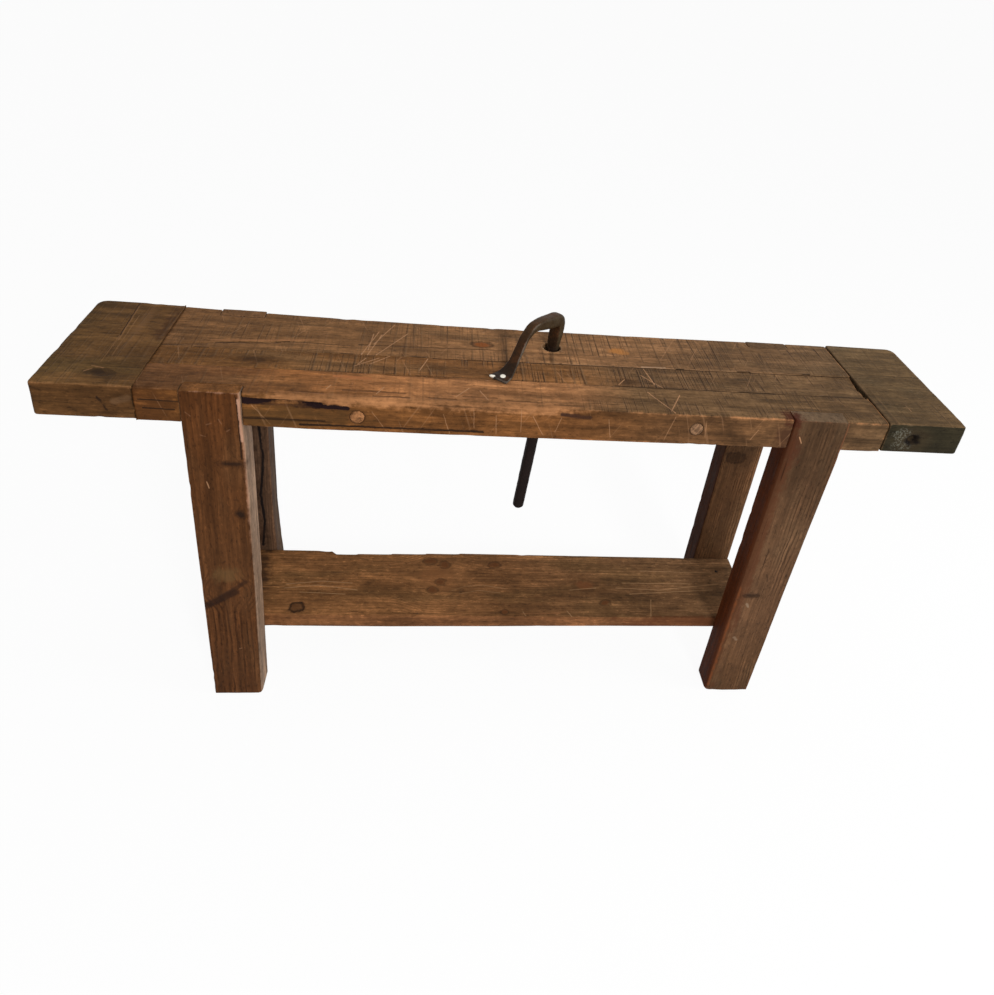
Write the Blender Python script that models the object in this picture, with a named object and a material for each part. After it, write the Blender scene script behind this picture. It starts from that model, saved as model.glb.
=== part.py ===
# Carpenter's workbench: a narrow plank top with capped ends on four lapped legs, a shelf on two bearers
# and a forged holdfast standing in the top. Metres, +Z up, front towards -Y, floor at Z = 0.

import math

import bmesh
import bpy
import numpy as np
from mathutils import Matrix, Vector

# Overall sizes
BENCH_LENGTH = 1.761
BENCH_DEPTH = 0.323
BENCH_HEIGHT = 0.808

# Clearances
FIT_GAP = 0.0003
SEAM_GAP = 0.0008

# Planks of the top, widths at their two ends
PLANK_THICK = 0.068
PLANK_DROP = 0.003
PLANK_FRONT_SET = 0.002
PLANK_BACK_SET = 0.006
FRONT_PLANK_LEFT_WIDTH = 0.086
FRONT_PLANK_RIGHT_WIDTH = 0.096
MIDDLE_PLANK_LEFT_WIDTH = 0.064
MIDDLE_PLANK_RIGHT_WIDTH = 0.085
FRONT_PLANK_SHORT = 0.001
MIDDLE_PLANK_SHORT = 0.008
BACK_PLANK_SHORT = 0.003
PLANK_ARRIS = 0.002
WORN_FRONT_ARRIS = 0.006

# End blocks, with a stopped groove for the planks' tongues
LEFT_BLOCK_LENGTH = 0.1665
RIGHT_BLOCK_LENGTH = 0.1685
BLOCK_FRONT_CORNER = 0.006
BLOCK_BACK_CORNER = 0.018
BLOCK_ARRIS = 0.003
TONGUE_LENGTH = 0.035
TONGUE_THICK = 0.022
TONGUE_STOP = 0.030
TONGUE_ROOT = 0.010

# Dowels that tie the planks together
DOWEL_DIA = 0.0255
DOWEL_PROUD = 0.001
DOWEL_BITE = 0.060
LEFT_DOWEL_FROM_END = 0.5485
LEFT_DOWEL_DROP = 0.041
RIGHT_DOWEL_FROM_END = 0.567
RIGHT_DOWEL_DROP = 0.033

# Legs, placed by their overhang from the ends of the bench
LEG_DEPTH = 0.060
FRONT_LEFT_OVERHANG = 0.242
FRONT_LEFT_WIDTH = 0.1045
FRONT_LEFT_LAP = 0.027
FRONT_RIGHT_OVERHANG = 0.2605
FRONT_RIGHT_WIDTH = 0.1105
FRONT_RIGHT_LAP = 0.036
BACK_LEFT_OVERHANG = 0.240
BACK_LEFT_WIDTH = 0.0885
BACK_RIGHT_OVERHANG = 0.272
BACK_RIGHT_WIDTH = 0.096
BACK_LAP = 0.030
LEG_ARRIS = 0.003
FRONT_LEFT_WANE = 0.008
FRONT_RIGHT_WANE = 0.011
STUB_TENON_THICK = 0.012
STUB_TENON_HEIGHT = 0.035
STUB_TENON_SHOULDER = 0.014

# Shelf, with a worn hollow in its back edge
SHELF_HEIGHT = 0.1865
SHELF_THICK = 0.033
SHELF_ARRIS = 0.002
HOLLOW_START = 0.2225
HOLLOW_STEP = 0.012
HOLLOW_DEPTH = 0.011
HOLLOW_LENGTH = 0.340

# Bearers under the shelf, pegged into the legs
BEARER_THICK = 0.040
BEARER_HEIGHT = 0.050
BEARER_TENON_THICK = 0.016
BEARER_TENON_HEIGHT = 0.034
BEARER_TENON_LENGTH = 0.042
PEG_DIA = 0.010
PEG_PAST_TENON = 0.012

# Nails that hold the shelf down
NAIL_DIA = 0.0045
NAIL_POINT_DIA = 0.0016
NAIL_HEAD_DIA = 0.010
NAIL_HEAD_THICK = 0.002
NAIL_LENGTH = 0.060
NAIL_SUNK = 0.0005
NAIL_SPACING = 0.110

# Holdfast: one forging that leans in its hole, with its pad on the top
HOLE_FROM_MIDDLE = 0.049
HOLE_FROM_BACK = 0.0825
HOLDFAST_TURN = math.radians(-129.3)
HOLDFAST_LEAN = math.radians(7.9)
SHANK_DIA = 0.0258
SHANK_BELOW = 0.411
SHANK_END_DIA = 0.016
SHANK_END_ROUND = 0.006
SHANK_PLAY = 0.0013
CROWN_WIDTH = 0.0262
CROWN_THICK = 0.028
CROWN_RISE = 0.0815
SQUARE_FROM = 0.021
SQUARE_FULL = 0.050
HOLDFAST_REACH = 0.2005
PAD_WIDTH = 0.0425
PAD_THICK = 0.0055

# Facets of round forms
ROUND_SEGMENTS = 32
PEG_SEGMENTS = 16
FORGED_SEGMENTS = 20
FORGED_STEPS = 4
CUT_OVERRUN = 0.010

# Places that several pieces share
LEFT = -BENCH_LENGTH / 2
RIGHT = BENCH_LENGTH / 2
FRONT = -BENCH_DEPTH / 2
BACK = BENCH_DEPTH / 2
PLANK_TOP = BENCH_HEIGHT - PLANK_DROP
PLANK_BOTTOM = PLANK_TOP - PLANK_THICK
PLANK_MIDDLE = PLANK_TOP - PLANK_THICK / 2
PLANK_FRONT = FRONT + PLANK_FRONT_SET
PLANK_BACK = BACK - PLANK_BACK_SET
LEFT_SEAM = LEFT + LEFT_BLOCK_LENGTH
RIGHT_SEAM = RIGHT - RIGHT_BLOCK_LENGTH
SHELF_BOTTOM = SHELF_HEIGHT - SHELF_THICK
BEARER_TOP = SHELF_BOTTOM - FIT_GAP
BEARER_MIDDLE = BEARER_TOP - BEARER_HEIGHT / 2
HOLE_X = HOLE_FROM_MIDDLE
HOLE_Y = BACK - HOLE_FROM_BACK


def clear_scene():
    for item in list(bpy.data.objects):
        bpy.data.objects.remove(item, do_unlink=True)


def new_collection(name):
    collection = bpy.data.collections.new(name)
    bpy.context.scene.collection.children.link(collection)
    return collection


def new_material(name, colour, roughness, metallic=0.0):
    material = bpy.data.materials.new(name)
    material.use_nodes = True
    shader = material.node_tree.nodes["Principled BSDF"]
    shader.inputs["Base Color"].default_value = (*colour, 1.0)
    shader.inputs["Roughness"].default_value = roughness
    shader.inputs["Metallic"].default_value = metallic
    return material


clear_scene()
parts = new_collection("carpenters_workbench")
cutters = new_collection("cutters")

plank_wood = new_material("plank_wood", (0.17, 0.085, 0.040), 0.62)
block_wood = new_material("block_wood", (0.15, 0.085, 0.042), 0.66)
leg_wood = new_material("leg_wood", (0.13, 0.058, 0.028), 0.60)
shelf_wood = new_material("shelf_wood", (0.14, 0.072, 0.034), 0.66)
peg_wood = new_material("peg_wood", (0.30, 0.17, 0.085), 0.60)
forged_iron = new_material("forged_iron", (0.075, 0.055, 0.042), 0.42, 0.9)
nail_iron = new_material("nail_iron", (0.060, 0.040, 0.030), 0.60, 0.8)


def add_part(name, mesh, material, collection=None):
    part = bpy.data.objects.new(name, mesh)
    (collection or parts).objects.link(part)
    part.data.materials.append(material)
    return part


def finish_mesh(name, bm):
    bmesh.ops.recalc_face_normals(bm, faces=bm.faces)
    mesh = bpy.data.meshes.new(name)
    bm.to_mesh(mesh)
    bm.free()
    return mesh


def box_mesh(name, low, high):
    low = Vector(low)
    high = Vector(high)
    bm = bmesh.new()
    place = Matrix.Translation((low + high) / 2) @ Matrix.Diagonal((*(high - low), 1.0))
    bmesh.ops.create_cube(bm, size=1.0, matrix=place)
    return finish_mesh(name, bm)


# Turns that carry a flat outline and its thickness to world axes
TURN_PLAN = Matrix.Identity(4)
TURN_SIDE = Matrix(((0, 0, 1, 0), (1, 0, 0, 0), (0, 1, 0, 0), (0, 0, 0, 1)))


def prism_mesh(name, outline, low, high, turn):
    # An outline drawn flat, given its thickness from low to high along the outline's own normal
    curve = bpy.data.curves.new(name, "CURVE")
    curve.dimensions = "2D"
    curve.fill_mode = "BOTH"
    curve.extrude = (high - low) / 2
    spline = curve.splines.new("POLY")
    spline.points.add(len(outline) - 1)
    for point, place in zip(spline.points, outline):
        point.co = (*place, 0.0, 1.0)
    spline.use_cyclic_u = True
    drawn = bpy.data.objects.new(name, curve)
    parts.objects.link(drawn)
    bpy.context.view_layer.update()
    evaluated = drawn.evaluated_get(bpy.context.evaluated_depsgraph_get())
    mesh = bpy.data.meshes.new_from_object(evaluated)
    bpy.data.objects.remove(drawn, do_unlink=True)
    bm = bmesh.new()
    bm.from_mesh(mesh)
    bmesh.ops.remove_doubles(bm, verts=bm.verts, dist=0.00001)
    bmesh.ops.dissolve_limit(bm, angle_limit=0.001, verts=bm.verts, edges=bm.edges)
    bmesh.ops.transform(bm, matrix=turn @ Matrix.Translation((0, 0, (low + high) / 2)), verts=bm.verts)
    return finish_mesh(name, bm)


def cylinder_mesh(name, start, end, diameter, segments):
    start = Vector(start)
    end = Vector(end)
    turn = (end - start).to_track_quat("Z", "Y").to_matrix().to_4x4()
    bm = bmesh.new()
    bmesh.ops.create_cone(
        bm, cap_ends=True, segments=segments, radius1=diameter / 2, radius2=diameter / 2,
        depth=(end - start).length, matrix=Matrix.Translation((start + end) / 2) @ turn)
    return finish_mesh(name, bm)


def round_edges(mesh, radius, picked, segments=2):
    # Rounds the edges for which picked(middle, direction) is true
    bm = bmesh.new()
    bm.from_mesh(mesh)
    edges = []
    for edge in bm.edges:
        start, end = (vert.co for vert in edge.verts)
        if picked((start + end) / 2, (end - start).normalized()):
            edges.append(edge)
    bmesh.ops.bevel(
        bm, geom=edges, offset=radius, offset_type="OFFSET", segments=segments, profile=0.5,
        affect="EDGES", clamp_overlap=True)
    bmesh.ops.recalc_face_normals(bm, faces=bm.faces)
    bm.to_mesh(mesh)
    bm.free()


def near(a, b):
    return abs(a - b) < 0.0001


def add_cutter(name, mesh):
    cutter = add_part(name, mesh, peg_wood, cutters)
    cutter.hide_render = True
    cutter.display_type = "WIRE"
    return cutter


def combine(part, other, operation):
    modifier = part.modifiers.new(other.name, "BOOLEAN")
    modifier.operation = operation
    modifier.solver = "EXACT"
    modifier.object = other


def cut(part, cutter):
    combine(part, cutter, "DIFFERENCE")


def join(part, other):
    combine(part, other, "UNION")


def smooth_round(mesh, angle=40.0):
    mesh.shade_smooth()
    mesh.set_sharp_from_angle(angle=math.radians(angle))


# Planks: seams run straight from the left end of the planks to the right end, not quite parallel

def along_planks(left_value, right_value, x):
    share = (x - LEFT_SEAM) / (RIGHT_SEAM - LEFT_SEAM)
    return left_value + (right_value - left_value) * share


def front_seam(x):
    return PLANK_FRONT + along_planks(FRONT_PLANK_LEFT_WIDTH, FRONT_PLANK_RIGHT_WIDTH, x)


def back_seam(x):
    return front_seam(x) + SEAM_GAP + along_planks(MIDDLE_PLANK_LEFT_WIDTH, MIDDLE_PLANK_RIGHT_WIDTH, x)


def straight_front(x):
    return PLANK_FRONT


def straight_back(x):
    return PLANK_BACK


def after_front_seam(x):
    return front_seam(x) + SEAM_GAP


def after_back_seam(x):
    return back_seam(x) + SEAM_GAP


def add_plank(name, front_edge, back_edge, right_short):
    left_end = LEFT_SEAM + FIT_GAP
    right_end = RIGHT_SEAM - right_short
    outline = [
        (left_end, front_edge(left_end)),
        (right_end, front_edge(right_end)),
        (right_end, back_edge(right_end)),
        (left_end, back_edge(left_end))]
    mesh = prism_mesh(name, outline, PLANK_BOTTOM, PLANK_TOP, TURN_PLAN)
    if front_edge is straight_front:
        round_edges(
            mesh, WORN_FRONT_ARRIS, segments=3,
            picked=lambda middle, way: near(middle.y, PLANK_FRONT) and near(middle.z, PLANK_TOP))
    round_edges(
        mesh, PLANK_ARRIS,
        picked=lambda middle, way: near(middle.z, PLANK_TOP) and abs(way.y) > 0.9)
    if back_edge is straight_back:
        round_edges(
            mesh, PLANK_ARRIS,
            picked=lambda middle, way: near(middle.y, PLANK_BACK) and abs(way.x) > 0.9)
    plank = add_part(name, mesh, plank_wood)
    add_tongue(plank, "left", left_end, LEFT_SEAM - TONGUE_LENGTH, front_edge, back_edge)
    add_tongue(plank, "right", right_end, RIGHT_SEAM + TONGUE_LENGTH, front_edge, back_edge)
    return plank


def tongue_front(x, front_edge):
    return front_edge(x) + (TONGUE_STOP if front_edge is straight_front else SEAM_GAP)


def tongue_back(x, back_edge):
    return back_edge(x) - (TONGUE_STOP if back_edge is straight_back else SEAM_GAP)


def add_tongue(plank, side, plank_end, tip, front_edge, back_edge):
    root = plank_end + math.copysign(TONGUE_ROOT, plank_end - tip)
    low = (min(root, tip), tongue_front(plank_end, front_edge), PLANK_MIDDLE - TONGUE_THICK / 2)
    high = (max(root, tip), tongue_back(plank_end, back_edge), PLANK_MIDDLE + TONGUE_THICK / 2)
    name = f"{plank.name}_{side}_tongue"
    join(plank, add_cutter(name, box_mesh(name, low, high)))


front_plank = add_plank("top_front_board", straight_front, front_seam, FRONT_PLANK_SHORT)
middle_plank = add_plank("top_middle_board", after_front_seam, back_seam, MIDDLE_PLANK_SHORT)
back_plank = add_plank("top_back_board", after_back_seam, straight_back, BACK_PLANK_SHORT)


# End blocks

def add_end_block(name, outer, inner):
    outline = [(outer, FRONT), (inner, FRONT), (inner, BACK), (outer, BACK)]
    mesh = prism_mesh(name, outline, BENCH_HEIGHT - PLANK_THICK, BENCH_HEIGHT, TURN_PLAN)
    round_edges(
        mesh, BLOCK_BACK_CORNER, segments=4,
        picked=lambda middle, way: near(middle.x, outer) and near(middle.y, BACK) and abs(way.z) > 0.9)
    round_edges(
        mesh, BLOCK_FRONT_CORNER, segments=3,
        picked=lambda middle, way: near(middle.x, outer) and near(middle.y, FRONT) and abs(way.z) > 0.9)
    round_edges(
        mesh, BLOCK_ARRIS,
        picked=lambda middle, way: abs(way.z) < 0.1 and not near(middle.x, inner))
    block = add_part(name, mesh, block_wood)
    toward = math.copysign(1.0, outer - inner)
    groove_end = inner + toward * (TONGUE_LENGTH + FIT_GAP)
    groove_mouth = inner - toward * CUT_OVERRUN
    half = TONGUE_THICK / 2 + FIT_GAP
    low = (min(groove_end, groove_mouth), PLANK_FRONT + TONGUE_STOP - FIT_GAP, PLANK_MIDDLE - half)
    high = (max(groove_end, groove_mouth), PLANK_BACK - TONGUE_STOP + FIT_GAP, PLANK_MIDDLE + half)
    cut(block, add_cutter(f"{name}_groove", box_mesh(f"{name}_groove", low, high)))
    return block


add_end_block("left_end_block", LEFT, LEFT_SEAM)
add_end_block("right_end_block", RIGHT, RIGHT_SEAM)


# Dowels from the front edge, through the middle plank, into the back plank

def add_dowel(name, x, drop):
    height = PLANK_TOP - drop
    start = (x, PLANK_FRONT - DOWEL_PROUD, height)
    end_y = after_back_seam(x) + DOWEL_BITE
    mesh = cylinder_mesh(name, start, (x, end_y, height), DOWEL_DIA, ROUND_SEGMENTS)
    smooth_round(mesh)
    add_part(name, mesh, peg_wood)
    bore = cylinder_mesh(
        f"{name}_bore", (x, PLANK_FRONT - CUT_OVERRUN, height), (x, end_y + FIT_GAP, height),
        DOWEL_DIA + 2 * FIT_GAP, ROUND_SEGMENTS)
    cutter = add_cutter(f"{name}_bore", bore)
    for plank in (front_plank, middle_plank, back_plank):
        cut(plank, cutter)


add_dowel("left_top_dowel", LEFT + LEFT_DOWEL_FROM_END, LEFT_DOWEL_DROP)
add_dowel("right_top_dowel", RIGHT - RIGHT_DOWEL_FROM_END, RIGHT_DOWEL_DROP)


# Legs: a lap runs up flush through the edge of the top, a stub tenon behind it enters the underside

class Leg:
    def __init__(self, name, x0, x1, face, inward, lap, plank):
        self.name = name
        self.x0 = x0
        self.x1 = x1
        self.face = face
        self.inward = inward
        self.lap = lap
        self.plank = plank
        self.inner_face = face + inward * LEG_DEPTH

    def depth(self, distance):
        # Place at this distance in from the leg's outer face
        return self.face + self.inward * distance

    def across(self, start, end):
        # Low and high Y of a stretch measured in from the outer face
        return sorted((self.depth(start), self.depth(end)))


def leg_from_left(name, overhang, width, face, inward, lap, plank):
    return Leg(name, LEFT + overhang, LEFT + overhang + width, face, inward, lap, plank)


def leg_from_right(name, overhang, width, face, inward, lap, plank):
    return Leg(name, RIGHT - overhang - width, RIGHT - overhang, face, inward, lap, plank)


front_left = leg_from_left(
    "front_left_leg", FRONT_LEFT_OVERHANG, FRONT_LEFT_WIDTH, FRONT, 1, FRONT_LEFT_LAP, front_plank)
front_right = leg_from_right(
    "front_right_leg", FRONT_RIGHT_OVERHANG, FRONT_RIGHT_WIDTH, FRONT, 1, FRONT_RIGHT_LAP, front_plank)
back_left = leg_from_left(
    "back_left_leg", BACK_LEFT_OVERHANG, BACK_LEFT_WIDTH, BACK, -1, BACK_LAP, back_plank)
back_right = leg_from_right(
    "back_right_leg", BACK_RIGHT_OVERHANG, BACK_RIGHT_WIDTH, BACK, -1, BACK_LAP, back_plank)


def add_leg(leg, wane=0.0, wane_x=None):
    shoulder = PLANK_BOTTOM - FIT_GAP
    outline = [
        (leg.face, 0.0),
        (leg.inner_face, 0.0),
        (leg.inner_face, shoulder),
        (leg.depth(leg.lap), shoulder),
        (leg.depth(leg.lap), PLANK_TOP),
        (leg.face, PLANK_TOP)]
    mesh = prism_mesh(leg.name, outline, leg.x0, leg.x1, TURN_SIDE)
    if wane:
        round_edges(
            mesh, wane,
            picked=lambda middle, way: near(middle.x, wane_x) and near(middle.y, leg.face))
    round_edges(
        mesh, LEG_ARRIS,
        picked=lambda middle, way: near(middle.z, 0.0) or (
            abs(way.z) > 0.9 and near(middle.y, leg.inner_face)))
    post = add_part(leg.name, mesh, leg_wood)
    join_stub_tenon(leg, post)
    return post


def join_stub_tenon(leg, post):
    middle = (leg.lap + LEG_DEPTH) / 2
    y0, y1 = leg.across(middle - STUB_TENON_THICK / 2, middle + STUB_TENON_THICK / 2)
    x0 = leg.x0 + STUB_TENON_SHOULDER
    x1 = leg.x1 - STUB_TENON_SHOULDER
    name = f"{leg.name}_stub_tenon"
    tenon = box_mesh(
        name, (x0, y0, PLANK_BOTTOM - CUT_OVERRUN), (x1, y1, PLANK_BOTTOM + STUB_TENON_HEIGHT))
    join(post, add_cutter(name, tenon))
    mortise = box_mesh(
        f"{name}_mortise", (x0 - FIT_GAP, y0 - FIT_GAP, PLANK_BOTTOM - CUT_OVERRUN),
        (x1 + FIT_GAP, y1 + FIT_GAP, PLANK_BOTTOM + STUB_TENON_HEIGHT + FIT_GAP))
    cut(leg.plank, add_cutter(f"{name}_mortise", mortise))
    y0, y1 = leg.across(-CUT_OVERRUN, leg.lap + FIT_GAP)
    housing = box_mesh(
        f"{leg.name}_housing", (leg.x0 - FIT_GAP, y0, PLANK_BOTTOM - CUT_OVERRUN),
        (leg.x1 + FIT_GAP, y1, PLANK_TOP + CUT_OVERRUN))
    cut(leg.plank, add_cutter(f"{leg.name}_housing", housing))


posts = {
    front_left: add_leg(front_left, FRONT_LEFT_WANE, front_left.x1),
    front_right: add_leg(front_right, FRONT_RIGHT_WANE, front_right.x0),
    back_left: add_leg(back_left),
    back_right: add_leg(back_right)}


# Bearers between the front and back legs, each tenon held by one peg from the outer side

def shared_middle(one, other):
    return (max(one.x0, other.x0) + min(one.x1, other.x1)) / 2


def add_bearer(name, x, legs):
    half = BEARER_THICK / 2
    ends = sorted(leg.inner_face for leg in legs)
    body = box_mesh(
        name, (x - half, ends[0] + FIT_GAP, BEARER_TOP - BEARER_HEIGHT),
        (x + half, ends[1] - FIT_GAP, BEARER_TOP))
    round_edges(body, LEG_ARRIS, picked=lambda middle, way: abs(way.y) > 0.9)
    bearer = add_part(name, body, leg_wood)
    half = BEARER_TENON_THICK / 2
    rise = BEARER_TENON_HEIGHT / 2
    reach = BEARER_TENON_LENGTH
    tenons = box_mesh(
        f"{name}_tenons", (x - half, ends[0] - reach, BEARER_MIDDLE - rise),
        (x + half, ends[1] + reach, BEARER_MIDDLE + rise))
    join(bearer, add_cutter(f"{name}_tenons", tenons))
    half += FIT_GAP
    rise += FIT_GAP
    reach += FIT_GAP
    mortises = box_mesh(
        f"{name}_mortises", (x - half, ends[0] - reach, BEARER_MIDDLE - rise),
        (x + half, ends[1] + reach, BEARER_MIDDLE + rise))
    cutter = add_cutter(f"{name}_mortises", mortises)
    for leg in legs:
        cut(posts[leg], cutter)
        add_bearer_peg(leg, bearer, x)
    return bearer


def add_bearer_peg(leg, bearer, x):
    outer = leg.x0 if x < 0 else leg.x1
    way = math.copysign(1.0, x)
    y = leg.inner_face - leg.inward * BEARER_TENON_LENGTH / 2
    inner = x - way * (BEARER_TENON_THICK / 2 + PEG_PAST_TENON)
    name = leg.name.replace("_leg", "_bearer_peg")
    mesh = cylinder_mesh(name, (outer, y, BEARER_MIDDLE), (inner, y, BEARER_MIDDLE), PEG_DIA, PEG_SEGMENTS)
    smooth_round(mesh)
    add_part(name, mesh, peg_wood)
    bore = cylinder_mesh(
        f"{name}_bore", (outer + way * CUT_OVERRUN, y, BEARER_MIDDLE),
        (inner - way * FIT_GAP, y, BEARER_MIDDLE), PEG_DIA + 2 * FIT_GAP, PEG_SEGMENTS)
    cutter = add_cutter(f"{name}_bore", bore)
    cut(posts[leg], cutter)
    cut(bearer, cutter)


left_bearer_x = shared_middle(front_left, back_left)
right_bearer_x = shared_middle(front_right, back_right)
left_bearer = add_bearer("left_bearer", left_bearer_x, (front_left, back_left))
right_bearer = add_bearer("right_bearer", right_bearer_x, (front_right, back_right))


# Shelf between the legs

def add_shelf():
    front = front_left.inner_face + FIT_GAP
    back = back_left.inner_face - FIT_GAP
    left = max(front_left.x0, back_left.x0)
    right = min(front_right.x1, back_right.x1)
    hollow = left + HOLLOW_START
    outline = [
        (left, front),
        (right, front),
        (right, back),
        (hollow + HOLLOW_STEP + HOLLOW_LENGTH, back),
        (hollow + HOLLOW_STEP, back - HOLLOW_DEPTH),
        (hollow, back),
        (left, back)]
    mesh = prism_mesh("shelf_board", outline, SHELF_BOTTOM, SHELF_HEIGHT, TURN_PLAN)
    round_edges(
        mesh, SHELF_ARRIS,
        picked=lambda middle, way: near(middle.y, front) and abs(way.x) > 0.9)
    return add_part("shelf_board", mesh, shelf_wood)


shelf = add_shelf()


def nail_mesh(name):
    # Turned from the rim of the head down to the point, closed on the axis at both ends
    profile = [
        (0.0, NAIL_HEAD_THICK),
        (NAIL_HEAD_DIA / 4, NAIL_HEAD_THICK),
        (NAIL_HEAD_DIA / 2, NAIL_HEAD_THICK / 3),
        (NAIL_HEAD_DIA / 2, 0.0),
        (NAIL_DIA / 2, 0.0),
        (NAIL_POINT_DIA / 2, -NAIL_LENGTH),
        (0.0, -NAIL_LENGTH)]
    bm = bmesh.new()
    verts = [bm.verts.new((x, 0.0, z)) for x, z in profile]
    edges = [bm.edges.new(pair) for pair in zip(verts, verts[1:])]
    bmesh.ops.spin(
        bm, geom=verts + edges, cent=(0, 0, 0), axis=(0, 0, 1), angle=math.tau, steps=PEG_SEGMENTS)
    bmesh.ops.remove_doubles(bm, verts=bm.verts, dist=0.00001)
    return finish_mesh(name, bm)


def add_nail(name, x, y, bearer):
    # The head is driven just below the shelf's surface
    seat = SHELF_HEIGHT - NAIL_SUNK - NAIL_HEAD_THICK
    above = (x, y, SHELF_HEIGHT + CUT_OVERRUN)
    nail = add_part(name, nail_mesh(name), nail_iron)
    nail.location = (x, y, seat)
    recess = cylinder_mesh(
        f"{name}_recess", above, (x, y, seat - FIT_GAP), NAIL_HEAD_DIA + 2 * FIT_GAP, PEG_SEGMENTS)
    bore = cylinder_mesh(
        f"{name}_bore", above, (x, y, seat - NAIL_LENGTH - FIT_GAP), NAIL_DIA + 2 * FIT_GAP, PEG_SEGMENTS)
    cut(shelf, add_cutter(f"{name}_recess", recess))
    cutter = add_cutter(f"{name}_bore", bore)
    cut(shelf, cutter)
    cut(bearer, cutter)


for side, x, bearer in (("left", left_bearer_x, left_bearer), ("right", right_bearer_x, right_bearer)):
    add_nail(f"{side}_front_shelf_nail", x, -NAIL_SPACING / 2, bearer)
    add_nail(f"{side}_back_shelf_nail", x, NAIL_SPACING / 2, bearer)


# Holdfast: a loft along a curve in the upright plane of the arm. Along its own X it reaches to the pad,
# and its origin is on the shank's axis where that crosses the top surface.

# The arm from the crown to the toe of the pad: share of the reach, share of the rise, share of the way
# from the crown's thickness to the pad's, share of the pad's width
ARM_SHAPE = [
    (0.000, 0.800, 0.00, 0.61),
    (0.160, 0.873, 0.05, 0.58),
    (0.290, 0.934, 0.15, 0.54),
    (0.440, 0.973, 0.48, 0.51),
    (0.535, 0.895, 0.69, 0.49),
    (0.600, 0.765, 0.80, 0.48),
    (0.652, 0.590, 0.86, 0.48),
    (0.706, 0.395, 0.90, 0.50),
    (0.760, 0.220, 0.92, 0.56),
    (0.832, 0.090, 0.94, 0.71)]
PAD_SHAPE = [(0.900, 0.88), (1.000, 1.00)]
ROUND_BAR = 2.0
SQUARE_BAR = 5.0


def forging_stations():
    # Each station: reach, height, width across the arm, thickness in the arm's plane, squareness
    slope = math.tan(HOLDFAST_LEAN)
    bottom = -SHANK_BELOW * math.cos(HOLDFAST_LEAN)
    shank = [
        (bottom, SHANK_END_DIA, ROUND_BAR),
        (bottom + SHANK_END_ROUND, SHANK_DIA, ROUND_BAR),
        (-PLANK_THICK, SHANK_DIA, ROUND_BAR),
        (0.0, SHANK_DIA, ROUND_BAR),
        (SQUARE_FROM, CROWN_WIDTH, (ROUND_BAR + SQUARE_BAR) / 2),
        (SQUARE_FULL, CROWN_WIDTH, SQUARE_BAR)]
    stations = [(-slope * height, height, size, size, square) for height, size, square in shank]
    for reach, rise, thin, wide in ARM_SHAPE:
        thick = CROWN_THICK + (PAD_THICK - CROWN_THICK) * thin
        stations.append((reach * HOLDFAST_REACH, rise * CROWN_RISE, PAD_WIDTH * wide, thick, SQUARE_BAR))
    for reach, wide in PAD_SHAPE:
        stations.append(
            (reach * HOLDFAST_REACH, FIT_GAP + PAD_THICK / 2, PAD_WIDTH * wide, PAD_THICK, SQUARE_BAR))
    return stations


def smooth_through(points, steps):
    # Curve through the points along their chord lengths, never swelling past a point
    points = np.array(points)
    lengths = np.linalg.norm(np.diff(points[:, :2], axis=0), axis=1)
    rates = np.diff(points, axis=0) / lengths[:, None]
    same_way = rates[:-1] * rates[1:] > 0
    total = np.where(same_way, rates[:-1] + rates[1:], 1.0)
    slopes = np.zeros_like(points)
    slopes[1:-1] = np.where(same_way, 2 * rates[:-1] * rates[1:] / total, 0.0)
    slopes[0, :2] = rates[0, :2]
    slopes[-1, :2] = rates[-1, :2]
    curve = []
    for index, length in enumerate(lengths):
        for step in range(steps):
            t = step / steps
            start = points[index] * (1 + 2 * t) * (1 - t) ** 2 + slopes[index] * length * t * (1 - t) ** 2
            end = points[index + 1] * t * t * (3 - 2 * t) - slopes[index + 1] * length * t * t * (1 - t)
            curve.append(start + end)
    curve.append(points[-1])
    return np.array(curve)


def forged_ring(bm, station, tangent):
    reach, height, width, thick, square = station
    ring = []
    for index in range(FORGED_SEGMENTS):
        angle = math.tau * (index + 0.5) / FORGED_SEGMENTS
        across = math.copysign(abs(math.cos(angle)) ** (2 / square), math.cos(angle)) * width / 2
        above = math.copysign(abs(math.sin(angle)) ** (2 / square), math.sin(angle)) * thick / 2
        place = (reach - tangent[1] * above, across, height + tangent[0] * above)
        ring.append(bm.verts.new(place))
    return ring


def add_holdfast():
    stations = smooth_through(forging_stations(), FORGED_STEPS)
    tangents = np.gradient(stations[:, :2], axis=0)
    tangents /= np.linalg.norm(tangents, axis=1)[:, None]
    tangents[-1] = (1.0, 0.0)
    bm = bmesh.new()
    rings = [forged_ring(bm, station, tangent) for station, tangent in zip(stations, tangents)]
    for one, other in zip(rings, rings[1:]):
        for index in range(FORGED_SEGMENTS):
            following = (index + 1) % FORGED_SEGMENTS
            bm.faces.new((one[index], one[following], other[following], other[index]))
    bm.faces.new(rings[0])
    bm.faces.new(rings[-1])
    mesh = finish_mesh("holdfast", bm)
    smooth_round(mesh)
    holdfast = add_part("holdfast", mesh, forged_iron)
    offset = PLANK_THICK / 2 * math.tan(HOLDFAST_LEAN)
    x = HOLE_X - math.cos(HOLDFAST_TURN) * offset
    y = HOLE_Y - math.sin(HOLDFAST_TURN) * offset
    holdfast.location = (x, y, PLANK_TOP)
    holdfast.rotation_euler = (0.0, 0.0, HOLDFAST_TURN)
    return holdfast


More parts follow.
